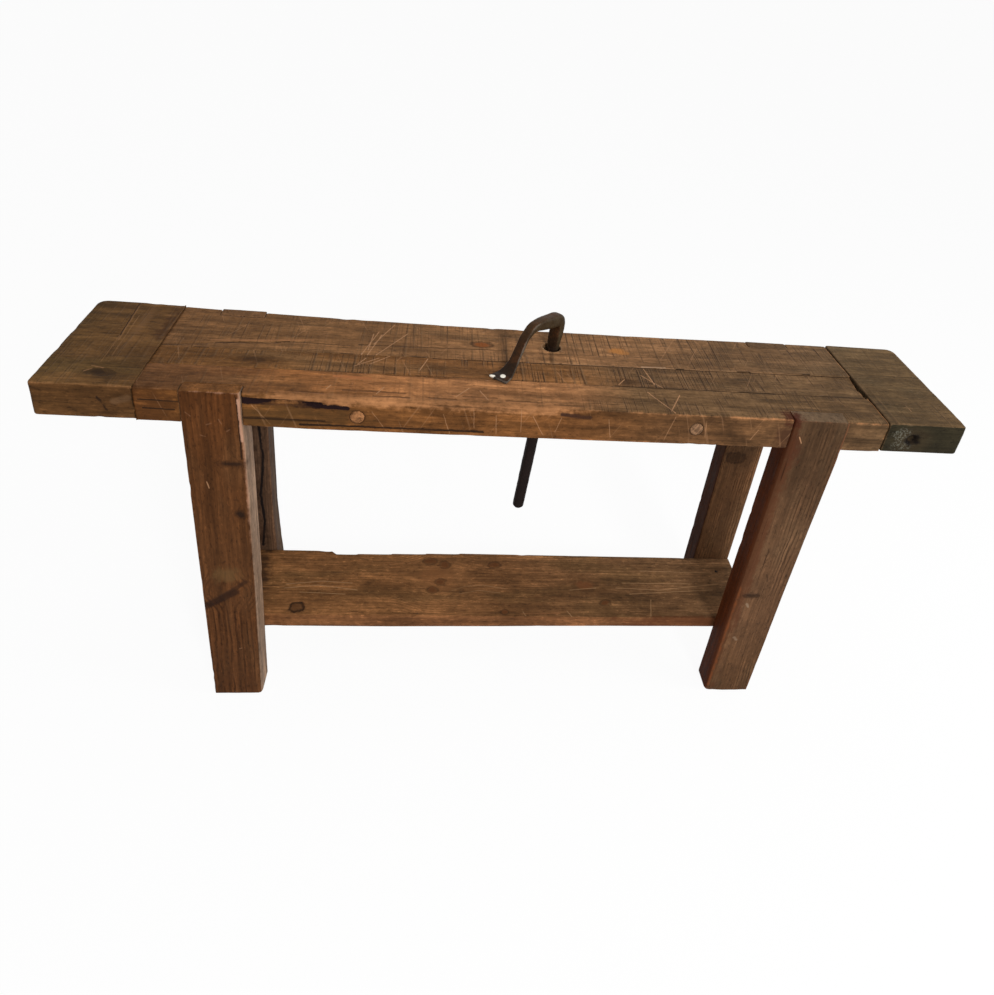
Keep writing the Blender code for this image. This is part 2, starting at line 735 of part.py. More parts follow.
def cut_holdfast_hole():
    # Wide enough for the leaning shank at both faces of the plank
    lean_shift = PLANK_THICK * math.tan(HOLDFAST_LEAN)
    diameter = SHANK_DIA / math.cos(HOLDFAST_LEAN) + lean_shift + 2 * SHANK_PLAY
    hole = cylinder_mesh(
        "holdfast_hole", (HOLE_X, HOLE_Y, PLANK_BOTTOM - CUT_OVERRUN),
        (HOLE_X, HOLE_Y, PLANK_TOP + CUT_OVERRUN), diameter, ROUND_SEGMENTS)
    cut(back_plank, add_cutter("holdfast_hole", hole))


add_holdfast()
cut_holdfast_hole()
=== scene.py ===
import math

import bmesh
import bpy
import numpy as np
from mathutils import Matrix, Vector


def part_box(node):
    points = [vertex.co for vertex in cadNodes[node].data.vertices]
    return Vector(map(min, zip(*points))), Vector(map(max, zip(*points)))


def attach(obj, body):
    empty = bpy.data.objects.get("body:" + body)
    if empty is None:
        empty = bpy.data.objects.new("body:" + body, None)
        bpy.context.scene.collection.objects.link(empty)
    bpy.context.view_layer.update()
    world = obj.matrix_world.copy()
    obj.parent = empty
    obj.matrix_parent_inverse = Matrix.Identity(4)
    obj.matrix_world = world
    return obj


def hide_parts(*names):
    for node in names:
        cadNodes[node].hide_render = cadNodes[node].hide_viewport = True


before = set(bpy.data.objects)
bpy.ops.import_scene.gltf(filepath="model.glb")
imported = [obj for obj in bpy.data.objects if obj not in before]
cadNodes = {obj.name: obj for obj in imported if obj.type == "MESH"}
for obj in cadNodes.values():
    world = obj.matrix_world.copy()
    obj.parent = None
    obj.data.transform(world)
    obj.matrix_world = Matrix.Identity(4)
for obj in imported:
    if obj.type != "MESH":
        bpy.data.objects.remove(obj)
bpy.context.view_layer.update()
scene = bpy.context.scene


# one wrapper for the shader and geometry node trees

class Val:
    # a socket that can stand in a sum
    def __init__(self, graph, socket):
        self.graph = graph
        self.socket = socket

    def __add__(self, other):
        return self.graph.math("ADD", self, other)

    def __radd__(self, other):
        return self.graph.math("ADD", other, self)

    def __sub__(self, other):
        return self.graph.math("SUBTRACT", self, other)

    def __rsub__(self, other):
        return self.graph.math("SUBTRACT", other, self)

    def __mul__(self, other):
        return self.graph.math("MULTIPLY", self, other)

    def __rmul__(self, other):
        return self.graph.math("MULTIPLY", other, self)

    def __truediv__(self, other):
        return self.graph.math("DIVIDE", self, other)

    def __rtruediv__(self, other):
        return self.graph.math("DIVIDE", other, self)

    def __pow__(self, other):
        return self.graph.math("POWER", self, other)

    def __rpow__(self, other):
        return self.graph.math("POWER", other, self)

    def __abs__(self):
        return self.graph.math("ABSOLUTE", self)

    def fract(self):
        return self.graph.math("FRACT", self)

    def atMost(self, other):
        return self.graph.math("MINIMUM", self, other)

    def atLeast(self, other):
        return self.graph.math("MAXIMUM", self, other)

    def ease(self, start, end):
        # 0 at start and 1 at end, with either one the larger
        rising = start < end
        settings = {"interpolation_type": "SMOOTHSTEP", "clamp": True}
        return self.graph.node("ShaderNodeMapRange", settings, {
            "Value": self, "From Min": min(start, end), "From Max": max(start, end),
            "To Min": 0.0 if rising else 1.0, "To Max": 1.0 if rising else 0.0})


class Graph:
    def __init__(self, tree):
        self.tree = tree
        tree.nodes.clear()

    def node(self, kind, settings=None, sockets=None, out=0):
        made = self.tree.nodes.new(kind)
        for key, value in (settings or {}).items():
            if key == "stops":
                self.fillRamp(made.color_ramp, value)
            else:
                setattr(made, key, value)
        for key, value in (sockets or {}).items():
            if isinstance(value, Val):
                self.tree.links.new(value.socket, made.inputs[key])
            else:
                made.inputs[key].default_value = value
        return Val(self, made.outputs[out]) if made.outputs else made

    def fillRamp(self, ramp, stops):
        while len(ramp.elements) < len(stops):
            ramp.elements.new(0.5)
        for element, (place, colour) in zip(ramp.elements, stops):
            element.position = place
            element.color = rgba(colour)

    def math(self, operation, first, second=None):
        sockets = {0: first} if second is None else {0: first, 1: second}
        return self.node("ShaderNodeMath", {"operation": operation}, sockets)

    def vector(self, operation, first, second, out=0):
        return self.node("ShaderNodeVectorMath", {"operation": operation}, {0: first, 1: second}, out)

    def scaled(self, vector, share):
        return self.node("ShaderNodeVectorMath", {"operation": "SCALE"}, {0: vector, "Scale": share})

    def split(self, vector):
        outputs = self.node("ShaderNodeSeparateXYZ", None, {0: vector}).socket.node.outputs
        return [Val(self, outputs[index]) for index in range(3)]

    def join(self, x, y, z):
        return self.node("ShaderNodeCombineXYZ", None, {0: x, 1: y, 2: z})

    def noise(self, vector, scale, detail, rough, warp, seed):
        # about -0.5 to 0.5
        way = (1.0, 1.7, 2.3)       # the seed moves the pattern along this
        shift = self.scaled(way, seed) if isinstance(seed, Val) else shade(way, seed)
        return self.node("ShaderNodeTexNoise", None, {
            "Vector": self.vector("ADD", vector, shift), "Scale": scale, "Detail": detail,
            "Roughness": rough, "Distortion": warp}) - 0.5

    def mix(self, share, first, second):
        return self.node("ShaderNodeMix", {"data_type": "RGBA"}, {0: share, 6: first, 7: second}, 2)

    def ramp(self, value, stops):
        # stops at places in the value's own units
        low, high = stops[0][0], stops[-1][0]
        shares = [((place - low) / (high - low), colour) for place, colour in stops]
        return self.node("ShaderNodeValToRGB", {"stops": shares}, {0: (value - low) / (high - low)})

    def nearness(self, place, at, size):
        # distance from a spot, in units of its size each way
        away = self.vector("MULTIPLY", self.vector("SUBTRACT", place, at), [1.0 / value for value in size])
        return self.vector("LENGTH", away, (0, 0, 0), 1)


def rgba(colour):
    return (*colour, 1.0)


def shade(colour, share):
    return tuple(value * share for value in colour)


def newTree(name, inputs):
    # a geometry tree with a mesh going in and coming out, and named inputs between
    tree = bpy.data.node_groups.new(name, "GeometryNodeTree")
    tree.interface.new_socket("Geometry", in_out="INPUT", socket_type="NodeSocketGeometry")
    for label, kind in inputs:
        tree.interface.new_socket(label, in_out="INPUT", socket_type="NodeSocket" + kind)
    tree.interface.new_socket("Geometry", in_out="OUTPUT", socket_type="NodeSocketGeometry")
    graph = Graph(tree)
    given = graph.node("NodeGroupInput").socket.node.outputs
    return tree, graph, [Val(graph, given[index]) for index in range(len(inputs) + 1)]


def pushed(graph, geometry, rise):
    # the surface moved out along its normal
    offset = graph.scaled(graph.node("GeometryNodeInputNormal"), rise)
    return graph.node("GeometryNodeSetPosition", None, {"Geometry": geometry, "Offset": offset})


def closeTree(graph, geometry, finish):
    whole = graph.node("GeometryNodeRealizeInstances", None, {"Geometry": geometry})
    dressed = graph.node("GeometryNodeSetMaterial", None, {"Geometry": whole, "Material": finish})
    graph.node("NodeGroupOutput", None, {"Geometry": dressed})


# studio: white ground, soft key from the front, a fill from the right, the photograph's camera

studio = {
    "worldLight": 0.46,
    "floorShow": 0.94,
    "floorReach": 600.0,
    "lamps": {
        "key": {"place": (1.10, -3.60, 3.10), "size": 0.75, "power": 112.0},
        "fill": {"place": (3.80, -0.90, 2.20), "size": 1.60, "power": 62.0}},
    "aim": (0.0, 0.0, 0.5)}

view = {
    "place": (-0.2098, -1.3589, 1.5847),
    "pitch": 0.5071,
    "turn": 0.1719,
    "roll": 0.1425,
    "focalPx": 773.65,
    "centrePx": (545.61, 359.52),
    "framePx": (994.0, 995.0),
    "sensor": 36.0}


def seenPlainly(graph):
    # 1 for rays that show the ground itself: from the camera, in metal, through glass
    path = graph.node("ShaderNodeLightPath").socket.node.outputs
    camera, glossy, through = (
        Val(graph, path[key]) for key in ("Is Camera Ray", "Is Glossy Ray", "Is Transmission Ray"))
    return camera.atLeast(glossy).atLeast(through)


def makeWorld():
    world = bpy.data.worlds.new("studio")
    scene.world = world
    world.use_nodes = True
    graph = Graph(world.node_tree)
    strength = studio["worldLight"] + seenPlainly(graph) * (1.0 - studio["worldLight"])
    sky = graph.node("ShaderNodeBackground", None, {"Color": (1, 1, 1, 1), "Strength": strength})
    graph.node("ShaderNodeOutputWorld", None, {"Surface": sky})


def makeFloor():
    reach = studio["floorReach"]
    mesh = bpy.data.meshes.new("floor")
    mesh.from_pydata(
        [(-reach, -reach, 0), (reach, -reach, 0), (reach, reach, 0), (-reach, reach, 0)], [], [(0, 1, 2, 3)])
    floor = bpy.data.objects.new("floor", mesh)
    scene.collection.objects.link(floor)
    paint = bpy.data.materials.new("paleFloor")
    paint.use_nodes = True
    graph = Graph(paint.node_tree)
    matt = graph.node("ShaderNodeBsdfDiffuse", None, {"Color": (0.92, 0.92, 0.92, 1)})
    glow = graph.node("ShaderNodeEmission", None, {"Color": (1, 1, 1, 1), "Strength": 1.0})
    both = graph.node("ShaderNodeMixShader", None, {
        0: seenPlainly(graph) * studio["floorShow"], 1: matt, 2: glow})
    graph.node("ShaderNodeOutputMaterial", None, {"Surface": both})
    mesh.materials.append(paint)


def makeLamps():
    for name, lamp in studio["lamps"].items():
        light = bpy.data.lights.new(name, "AREA")
        light.shape = "DISK"
        light.size = lamp["size"]
        light.energy = lamp["power"]
        holder = bpy.data.objects.new(name, light)
        scene.collection.objects.link(holder)
        holder.location = lamp["place"]
        way = Vector(studio["aim"]) - Vector(lamp["place"])
        holder.rotation_euler = way.to_track_quat("-Z", "Y").to_euler()


def makeCamera():
    lens = bpy.data.cameras.new("camera")
    wide, high = view["framePx"]
    lens.sensor_fit = "HORIZONTAL"
    lens.sensor_width = view["sensor"]
    lens.lens = view["focalPx"] * view["sensor"] / wide
    lens.shift_x = (wide / 2 - view["centrePx"][0]) / wide
    lens.shift_y = (view["centrePx"][1] - high / 2) / wide
    lens.clip_start = 0.05
    camera = bpy.data.objects.new("camera", lens)
    scene.collection.objects.link(camera)
    camera.matrix_world = (
        Matrix.Translation(view["place"])
        @ Matrix.Rotation(-view["turn"], 4, "Z")
        @ Matrix.Rotation(math.pi / 2 - view["pitch"], 4, "X")
        @ Matrix.Rotation(view["roll"], 4, "Z"))
    scene.camera = camera
    scene.view_settings.view_transform = "Standard"


makeWorld()
makeFloor()
makeLamps()
makeCamera()
print("studio: floor, lamps and camera set")


# timber finish: a tint that drifts over the piece, times the grain's light and dark

def even(value):
    return [(-1.0, value), (1.0, value)]


plainTimber = {
    "grain": "x",
    "tint": even((0.15, 0.07, 0.03)),
    "tintAxis": "x",
    "cool": (0.110, 0.068, 0.034),      # weathered patches
    "coolShare": 0.4,
    "deep": (0.016, 0.008, 0.005),      # cracks and dirt
    "worn": (0.340, 0.160, 0.072),      # rubbed arrises
    "wornShare": 0.6,
    "pale": (0.420, 0.220, 0.110),      # fresh scratches
    "lip": (0.270, 0.155, 0.078),       # raised side of a saw mark
    "endTint": None,                    # end grain
    "faces": [],                        # (axis, sign, tint, share) for a face of its own colour, or painted shade on a face turned from the light
    "streak": 2.4, "fibre": 1.8, "mottle": 2.0, "cloud": 1.0, "grit": 0.8,
    "lines": 0.35, "flecks": 0.40, "glints": 0.30,
    "rings": 0.0, "pitch": 0.004, "heart": (-1.2, 0.0), "wander": 0.010, "ringSpan": None,
    "checks": 0.6,
    "kerfs": 0.0, "kerfSpan": even(1.0),
    # sets of saw marks: crowd, breaks, strength, width
    "kerfSets": [(30.0, 3.0, 0.8, 0.0036), (56.0, 5.0, 0.9, 0.0023), (125.0, 9.0, 0.6, 0.0011)],
    "scratches": 0.0,
    "rough": 0.68, "bump": 0.8, "bumpDepth": 0.0012, "specular": 0.05,
    "seed": 0.0,
    "knots": [], "strokes": [], "stainsAndShadows": [], "crusts": [], "rims": []}


plainKnot = {
    "dark": 0.6, "ring": 0.5, "halo": 0.3,          # shares of the core, its rim and the dark round it
    "glow": 0.0, "glowTint": (0.22, 0.070, 0.022),
    "push": 0.8, "reach": 2.6}                      # how the growth rings bend round it


class Timber:
    # builds one timber material, layer over layer
    def __init__(self, name, finish):
        self.finish = {**plainTimber, **finish}
        self.knots = [{**plainKnot, **knot} for knot in self.finish["knots"]]
        self.material = bpy.data.materials.new(name)
        self.material.use_nodes = True
        self.graph = Graph(self.material.node_tree)
        self.seed = self.finish["seed"]
        graph = self.graph
        self.place = graph.node("ShaderNodeTexCoord", None, None, "Object")
        self.axes = dict(zip("xyz", graph.split(self.place)))
        order = {"x": "xyz", "y": "yzx", "z": "zxy"}[self.finish["grain"]]
        self.along, self.sideA, self.sideB = (self.axes[axis] for axis in order)
        normal = graph.node("ShaderNodeNewGeometry", None, None, "Normal")
        self.facing = dict(zip("xyz", graph.split(normal)))
        self.wear = graph.node("ShaderNodeAttribute", {"attribute_name": "wear"}, None, "Fac")
        for layer in (
                self.makeGrain, self.makeTint, self.addWear, self.addStainsAndShadows, self.addCrusts, self.addRims,
                self.addChecks, self.addKerfs, self.addScratches, self.addKnots, self.addStrokes):
            layer()
        self.close()

    def stretched(self, run, cross):
        return self.graph.join(self.along * run, self.sideA * cross, self.sideB * cross)

    def cover(self, mask, colour):
        self.colour = self.graph.mix(mask, self.colour, rgba(colour))

    def makeGrain(self):
        graph, finish, seed = self.graph, self.finish, self.seed
        self.fray = graph.noise(self.place, 75.0, 3.0, 0.6, 0.0, seed + 3.1)
        self.streak = graph.noise(self.stretched(2.2, 55.0), 1.0, 4.0, 0.68, 0.15, seed + 2.6)
        self.fibre = graph.noise(self.stretched(9.0, 240.0), 1.0, 2.0, 0.6, 0.0, seed + 1.3)
        self.mottle = graph.noise(self.stretched(14.0, 34.0), 1.0, 5.0, 0.70, 0.25, seed + 5.2)
        self.cloud = graph.noise(self.place, 5.0, 2.0, 0.5, 0.2, seed + 7.7)
        fleck = graph.noise(self.stretched(80.0, 230.0), 1.0, 2.0, 0.6, 0.0, seed + 9.4)
        pore = fleck.ease(0.09, 0.18)
        self.tone = (self.streak * finish["streak"] + self.fibre * finish["fibre"]
                     + self.mottle * finish["mottle"] + self.cloud * finish["cloud"]
                     + self.fray * finish["grit"]
                     - self.fibre.ease(0.07, 0.17) * finish["lines"] - pore * finish["flecks"]
                     + fleck.ease(-0.11, -0.20) * finish["glints"])
        self.depth = (self.fibre * 0.6 + self.streak * 0.4 + self.mottle * 0.6 + self.fray * 0.4
                      - pore * 0.3)
        if finish["rings"]:
            self.addRings()

    def addRings(self):
        # growth rings, pushed aside by the knots
        graph, finish = self.graph, self.finish
        bend = graph.noise(self.stretched(3.5, 9.0), 1.0, 3.0, 0.55, 0.2, self.seed)
        awayA = self.sideA - finish["heart"][0]
        awayB = self.sideB - finish["heart"][1]
        radius = (awayA * awayA + awayB * awayB) ** 0.5 + bend * finish["wander"]
        for knot in self.knots:
            middle = dict(zip("xyz", knot["at"]))
            side = self.sideA - middle[{"x": "y", "y": "z", "z": "x"}[finish["grain"]]]
            far = graph.nearness(self.place, knot["at"], shade(knot["size"], knot["reach"]))
            radius = radius - side * far.ease(1.0, 0.1) * knot["push"]
        part = ((radius + self.streak * 0.016) / finish["pitch"]).fract()
        strength = (self.mottle * 5.0 + self.streak * 4.0 + 0.5).atLeast(0.0).atMost(1.6)
        if finish["ringSpan"]:
            axis, start, end, least = finish["ringSpan"]
            strength = strength * (least + self.axes[axis].ease(start, end) * (1.0 - least))
        sides = abs(self.facing[finish["grain"]]).ease(0.8, 0.5)
        line = abs(part - 0.5).ease(0.30, 0.04) * strength * sides
        self.tone = self.tone - line * finish["rings"]
        self.depth = self.depth - line * 0.3

    def makeTint(self):
        graph, finish = self.graph, self.finish
        tint = graph.ramp(self.axes[finish["tintAxis"]], finish["tint"])
        patch = graph.noise(self.stretched(3.0, 12.0), 1.0, 3.0, 0.6, 0.3, self.seed + 17.0)
        tint = graph.mix(patch.ease(-0.02, 0.16) * finish["coolShare"], tint, rgba(finish["cool"]))
        # a face turned one way gets its own colour; on the right legs this is painted shade
        for axis, sign, stops, share in finish["faces"]:
            mask = (self.facing[axis] * sign).ease(0.55, 0.85) * share
            tint = graph.mix(mask, tint, graph.ramp(self.axes[finish["tintAxis"]], stops))
        if finish["endTint"]:
            mask = abs(self.facing[finish["grain"]]).ease(0.6, 0.9) * 0.85
            tint = graph.mix(mask, tint, rgba(finish["endTint"]))
        self.colour = graph.scaled(tint, math.e ** self.tone)

    def addWear(self):
        graph, finish = self.graph, self.finish
        rub = self.wear + self.fray * 0.7 + self.streak * 1.1 + self.mottle * 0.6
        self.rubbed = rub.ease(0.42, 0.95) * finish["wornShare"]
        bare = graph.scaled(finish["worn"], math.e ** (self.tone * 0.6))
        self.colour = graph.mix(self.rubbed, self.colour, bare)

    def addStainsAndShadows(self):
        # patches of colour: real stains, and some painted shadows
        ragged = self.mottle * 1.6 + self.streak * 1.2 + self.fray
        for at, size, colour, share in self.finish["stainsAndShadows"]:
            far = self.graph.nearness(self.place, at, size) + ragged
            self.cover(far.ease(1.1, 0.35) * share, colour)

    def addCrusts(self):
        # a speckled patch
        for at, size, colour, share in self.finish["crusts"]:
            speck = self.graph.noise(self.place, 230.0, 3.0, 0.7, 0.4, self.seed + 15.0)
            far = self.graph.nearness(self.place, at, size) + self.fray * 1.4
            self.cover(far.ease(1.15, 0.55) * speck.ease(-0.04, 0.10) * share, colour)

    def addRims(self):
        # rings round a hole or a plug
        for at, radius, width, colour, share in self.finish["rims"]:
            far = abs(self.graph.nearness(self.place, at, (1.0, 1.0, 1.0)) - radius) + self.fray * 0.004
            self.cover(far.ease(width, width * 0.4) * share, colour)

    def addChecks(self):
        # drying cracks along the grain
        line = self.graph.noise(self.stretched(3.5, 150.0), 1.0, 1.0, 0.5, 0.0, self.seed + 11.0)
        patch = self.graph.noise(self.place, 8.0, 2.0, 0.5, 0.0, self.seed + 12.0)
        self.check = line.ease(0.17, 0.25) * patch.ease(-0.02, 0.10) * self.finish["checks"]
        self.cover(self.check * 0.8, self.finish["deep"])
        self.depth = self.depth - self.check * 1.2

    def addKerfs(self):
        # saw and knife marks across the top: a dirty groove beside a rubbed lip
        finish, graph = self.finish, self.graph
        if not finish["kerfs"]:
            return
        x, y = self.axes["x"], self.axes["y"]
        across = x + self.cloud * 0.004
        upward = self.facing["z"].ease(0.5, 0.85)
        span = graph.ramp(x, [(place, (share, share, share)) for place, share in finish["kerfSpan"]])
        field = graph.noise(graph.join(x * 6.0, y * 15.0, 0.0), 1.0, 3.0, 0.6, 0.0, self.seed + 21.0)
        share = upward * field.ease(-0.16, 0.04) * graph.split(span)[0] * finish["kerfs"]
        for index, (crowd, breaks, strength, width) in enumerate(finish["kerfSets"]):
            lane = across * crowd
            fade = graph.noise(graph.join(lane * 0.7, y * breaks, index * 5.0), 1.0, 1.0, 0.5, 0.0, self.seed)
            jitter = graph.noise(
                graph.join(lane * 0.6, y * 2.0, index * 3.0), 1.0, 0.0, 0.5, 0.0, self.seed + 22.0)
            part = (lane + jitter * 1.6).fract()
            there = (fade + self.fray * 0.35).ease(-0.06, 0.12) * share * strength
            lip = abs(part - 0.5 - crowd * 0.0020).ease(width * crowd, 0.0) * there
            groove = abs(part - 0.5).ease(width * crowd * 1.3, 0.0) * there
            self.cover(lip * 0.6, finish["lip"])
            self.cover(groove * 0.75, finish["deep"])
            self.depth = self.depth - groove * 1.2

    def addScratches(self):
        # long pale scratches at two slants
        finish, graph = self.finish, self.graph
        if not finish["scratches"]:
            return
        x, y, z = (self.axes[axis] for axis in "xyz")
        run = y + z
        pale = 0.0
        for slant, crowd, seed in ((0.35, 210.0, 31.0), (-0.55, 190.0, 32.0)):
            across = x + run * slant
            spot = graph.join(across * crowd, run * 7.0, 0.0)
            line = graph.noise(spot, 1.0, 0.0, 0.5, 0.0, self.seed + seed)
            pale = line.ease(0.27, 0.33) + pale
        pale = pale * finish["scratches"]
        self.cover(pale, finish["pale"])
        self.depth = self.depth - pale * 0.3

    def addKnots(self):
        finish, graph = self.finish, self.graph
        for knot in self.knots:
            far = graph.nearness(self.place, knot["at"], knot["size"]) + self.fray + self.mottle * 0.8
            core = far.ease(1.0, 0.45)
            rim = far.ease(0.55, 0.95) * far.ease(1.35, 1.0)
            layers = [
                (far.ease(2.4, 0.9), knot["halo"], shade(finish["tint"][0][1], 0.5)),
                (core, knot["glow"], knot["glowTint"]),
                (core, knot["dark"], finish["deep"]), (rim, knot["ring"], finish["deep"])]
            for mask, share, colour in layers:
                if share:
                    self.cover(mask * share, colour)
            self.depth = self.depth - core * knot["dark"] - rim * knot["ring"]

    def addStrokes(self):
        # single marks between two spots: width, share, colour and depth
        finish, graph = self.finish, self.graph
        if not finish["strokes"]:
            return
        fine, frayed = (graph.vector("ADD", self.place, graph.scaled((1, 1, 1), self.fray * size))
                        for size in (0.0022, 0.0055))
        layers = {}
        for start, end, width, share, colour, depth in finish["strokes"]:
            way = Vector(end) - Vector(start)
            away = graph.vector("SUBTRACT", fine if width < 0.003 else frayed, start)
            part = graph.vector("DOT_PRODUCT", away, way / way.length_squared, 1)
            part = graph.node("ShaderNodeClamp", None, {"Value": part})
            far = graph.vector("DISTANCE", away, graph.scaled(way, part), 1) / width
            key = (colour, depth, share)
            layers[key] = far.atMost(layers.get(key, 9.0))
        for (colour, depth, share), far in layers.items():
            mask = (far.ease(1.0, 0.35) * (share + self.mottle * 1.5)).atLeast(0.0).atMost(1.0)
            self.cover(mask, colour)
            if depth:
                self.depth = self.depth - mask * depth

    def close(self):
        finish, graph = self.finish, self.graph
        bump = graph.node("ShaderNodeBump", None, {
            "Strength": finish["bump"], "Distance": finish["bumpDepth"], "Height": self.depth})
        rough = (finish["rough"] + self.fibre * 0.3 + self.mottle * 0.3 + self.check * 0.2
                 - self.rubbed * 0.10)
        skin = graph.node("ShaderNodeBsdfPrincipled", None, {
            "Base Color": self.colour, "Roughness": rough.atLeast(0.40).atMost(0.95), "Normal": bump,
            "Specular IOR Level": finish["specular"]})
        graph.node("ShaderNodeOutputMaterial", None, {"Surface": skin})


# timber shapes: the solid's own form on a fine grid, with worn arrises, dents and ripples

def skinTree():
    tree, graph, given = newTree("timberSkin", [
        ("Ripple", "Float"), ("Scale", "Vector"), ("Fuzz", "Float"), ("Seed", "Float"),
        ("Finish", "Material")])
    solid, ripple, scale, fuzz, seed, finish = given
    spot = graph.node("GeometryNodeInputPosition")
    broad = graph.noise(graph.vector("MULTIPLY", spot, scale), 1.0, 2.0, 0.5, 0.0, seed)
    fine = graph.noise(spot, 90.0, 2.0, 0.6, 0.0, seed + 4.0)
    closeTree(graph, pushed(graph, solid, broad * ripple + fine * fuzz), finish)
    return tree


def dress(piece, tree, values):
    # runs a tree on the piece with its inputs set, and keeps the plain mesh
    modifier = piece.modifiers.new(tree.name, "NODES")
    modifier.node_group = tree
    for item in tree.interface.items_tree:
        if item.in_out == "INPUT" and item.name in values:
            modifier[item.identifier] = values[item.name]
    return settle(piece)


def settle(piece):
    # the evaluated shape becomes the piece's plain mesh
    shown = piece.evaluated_get(bpy.context.evaluated_depsgraph_get())
    mesh = bpy.data.meshes.new_from_object(shown)
    piece.modifiers.clear()
    piece.data = mesh
    return piece


def newPiece(label, mesh):
    piece = bpy.data.objects.new(label, mesh)
    scene.collection.objects.link(piece)
    return piece


def reworked(mesh, operation):
    bm = bmesh.new()
    bm.from_mesh(mesh)
    operation(bm)
    bm.to_mesh(mesh)
    bm.free()


def solidCopy(label, node):
    mesh = cadNodes[node].data.copy()
    mesh.materials.clear()
    reworked(mesh, lambda bm: bmesh.ops.remove_doubles(bm, verts=bm.verts, dist=0.00001))
    return newPiece(label, mesh)


def onGrid(piece, size):
    grid = piece.modifiers.new("grid", "REMESH")
    grid.mode = "VOXEL"
    grid.voxel_size = size
    return settle(piece)


def readVectors(items, key):
    values = np.empty(len(items) * 3, np.float32)
    items.foreach_get(key, values)
    return values.reshape(-1, 3).astype(float)


def easeArray(values, start, end):
    share = np.clip((values - start) / (end - start), 0.0, 1.0)
    return share * share * (3 - 2 * share)


def ripples(values, seed, count=5, base=9.0):
    # a slow random line along one axis, about -1 to 1
    draw = np.random.default_rng(seed)
    total = np.zeros_like(values)
    for index in range(count):
        total += np.sin(values * base * (1.7 ** index) + draw.uniform(0, 6.3)) * 0.62 ** index
    return total / 1.9


carving = {
    "snap": 0.0022,                     # how far the grid rounds a square arris
    "faceReach": 0.004,                 # past this the point is on another form, such as a tongue
    "bruiseReach": 0.004, "bruiseSize": (0.010, 0.028), "bruiseDepth": (0.0003, 0.0012),
    "wearReach": 0.005, "wornArris": 0.75,
    "grid": 0.0026, "ripple": 0.0010, "fuzz": 0.0003,
    "alongScale": 7.0, "acrossScale": 26.0}


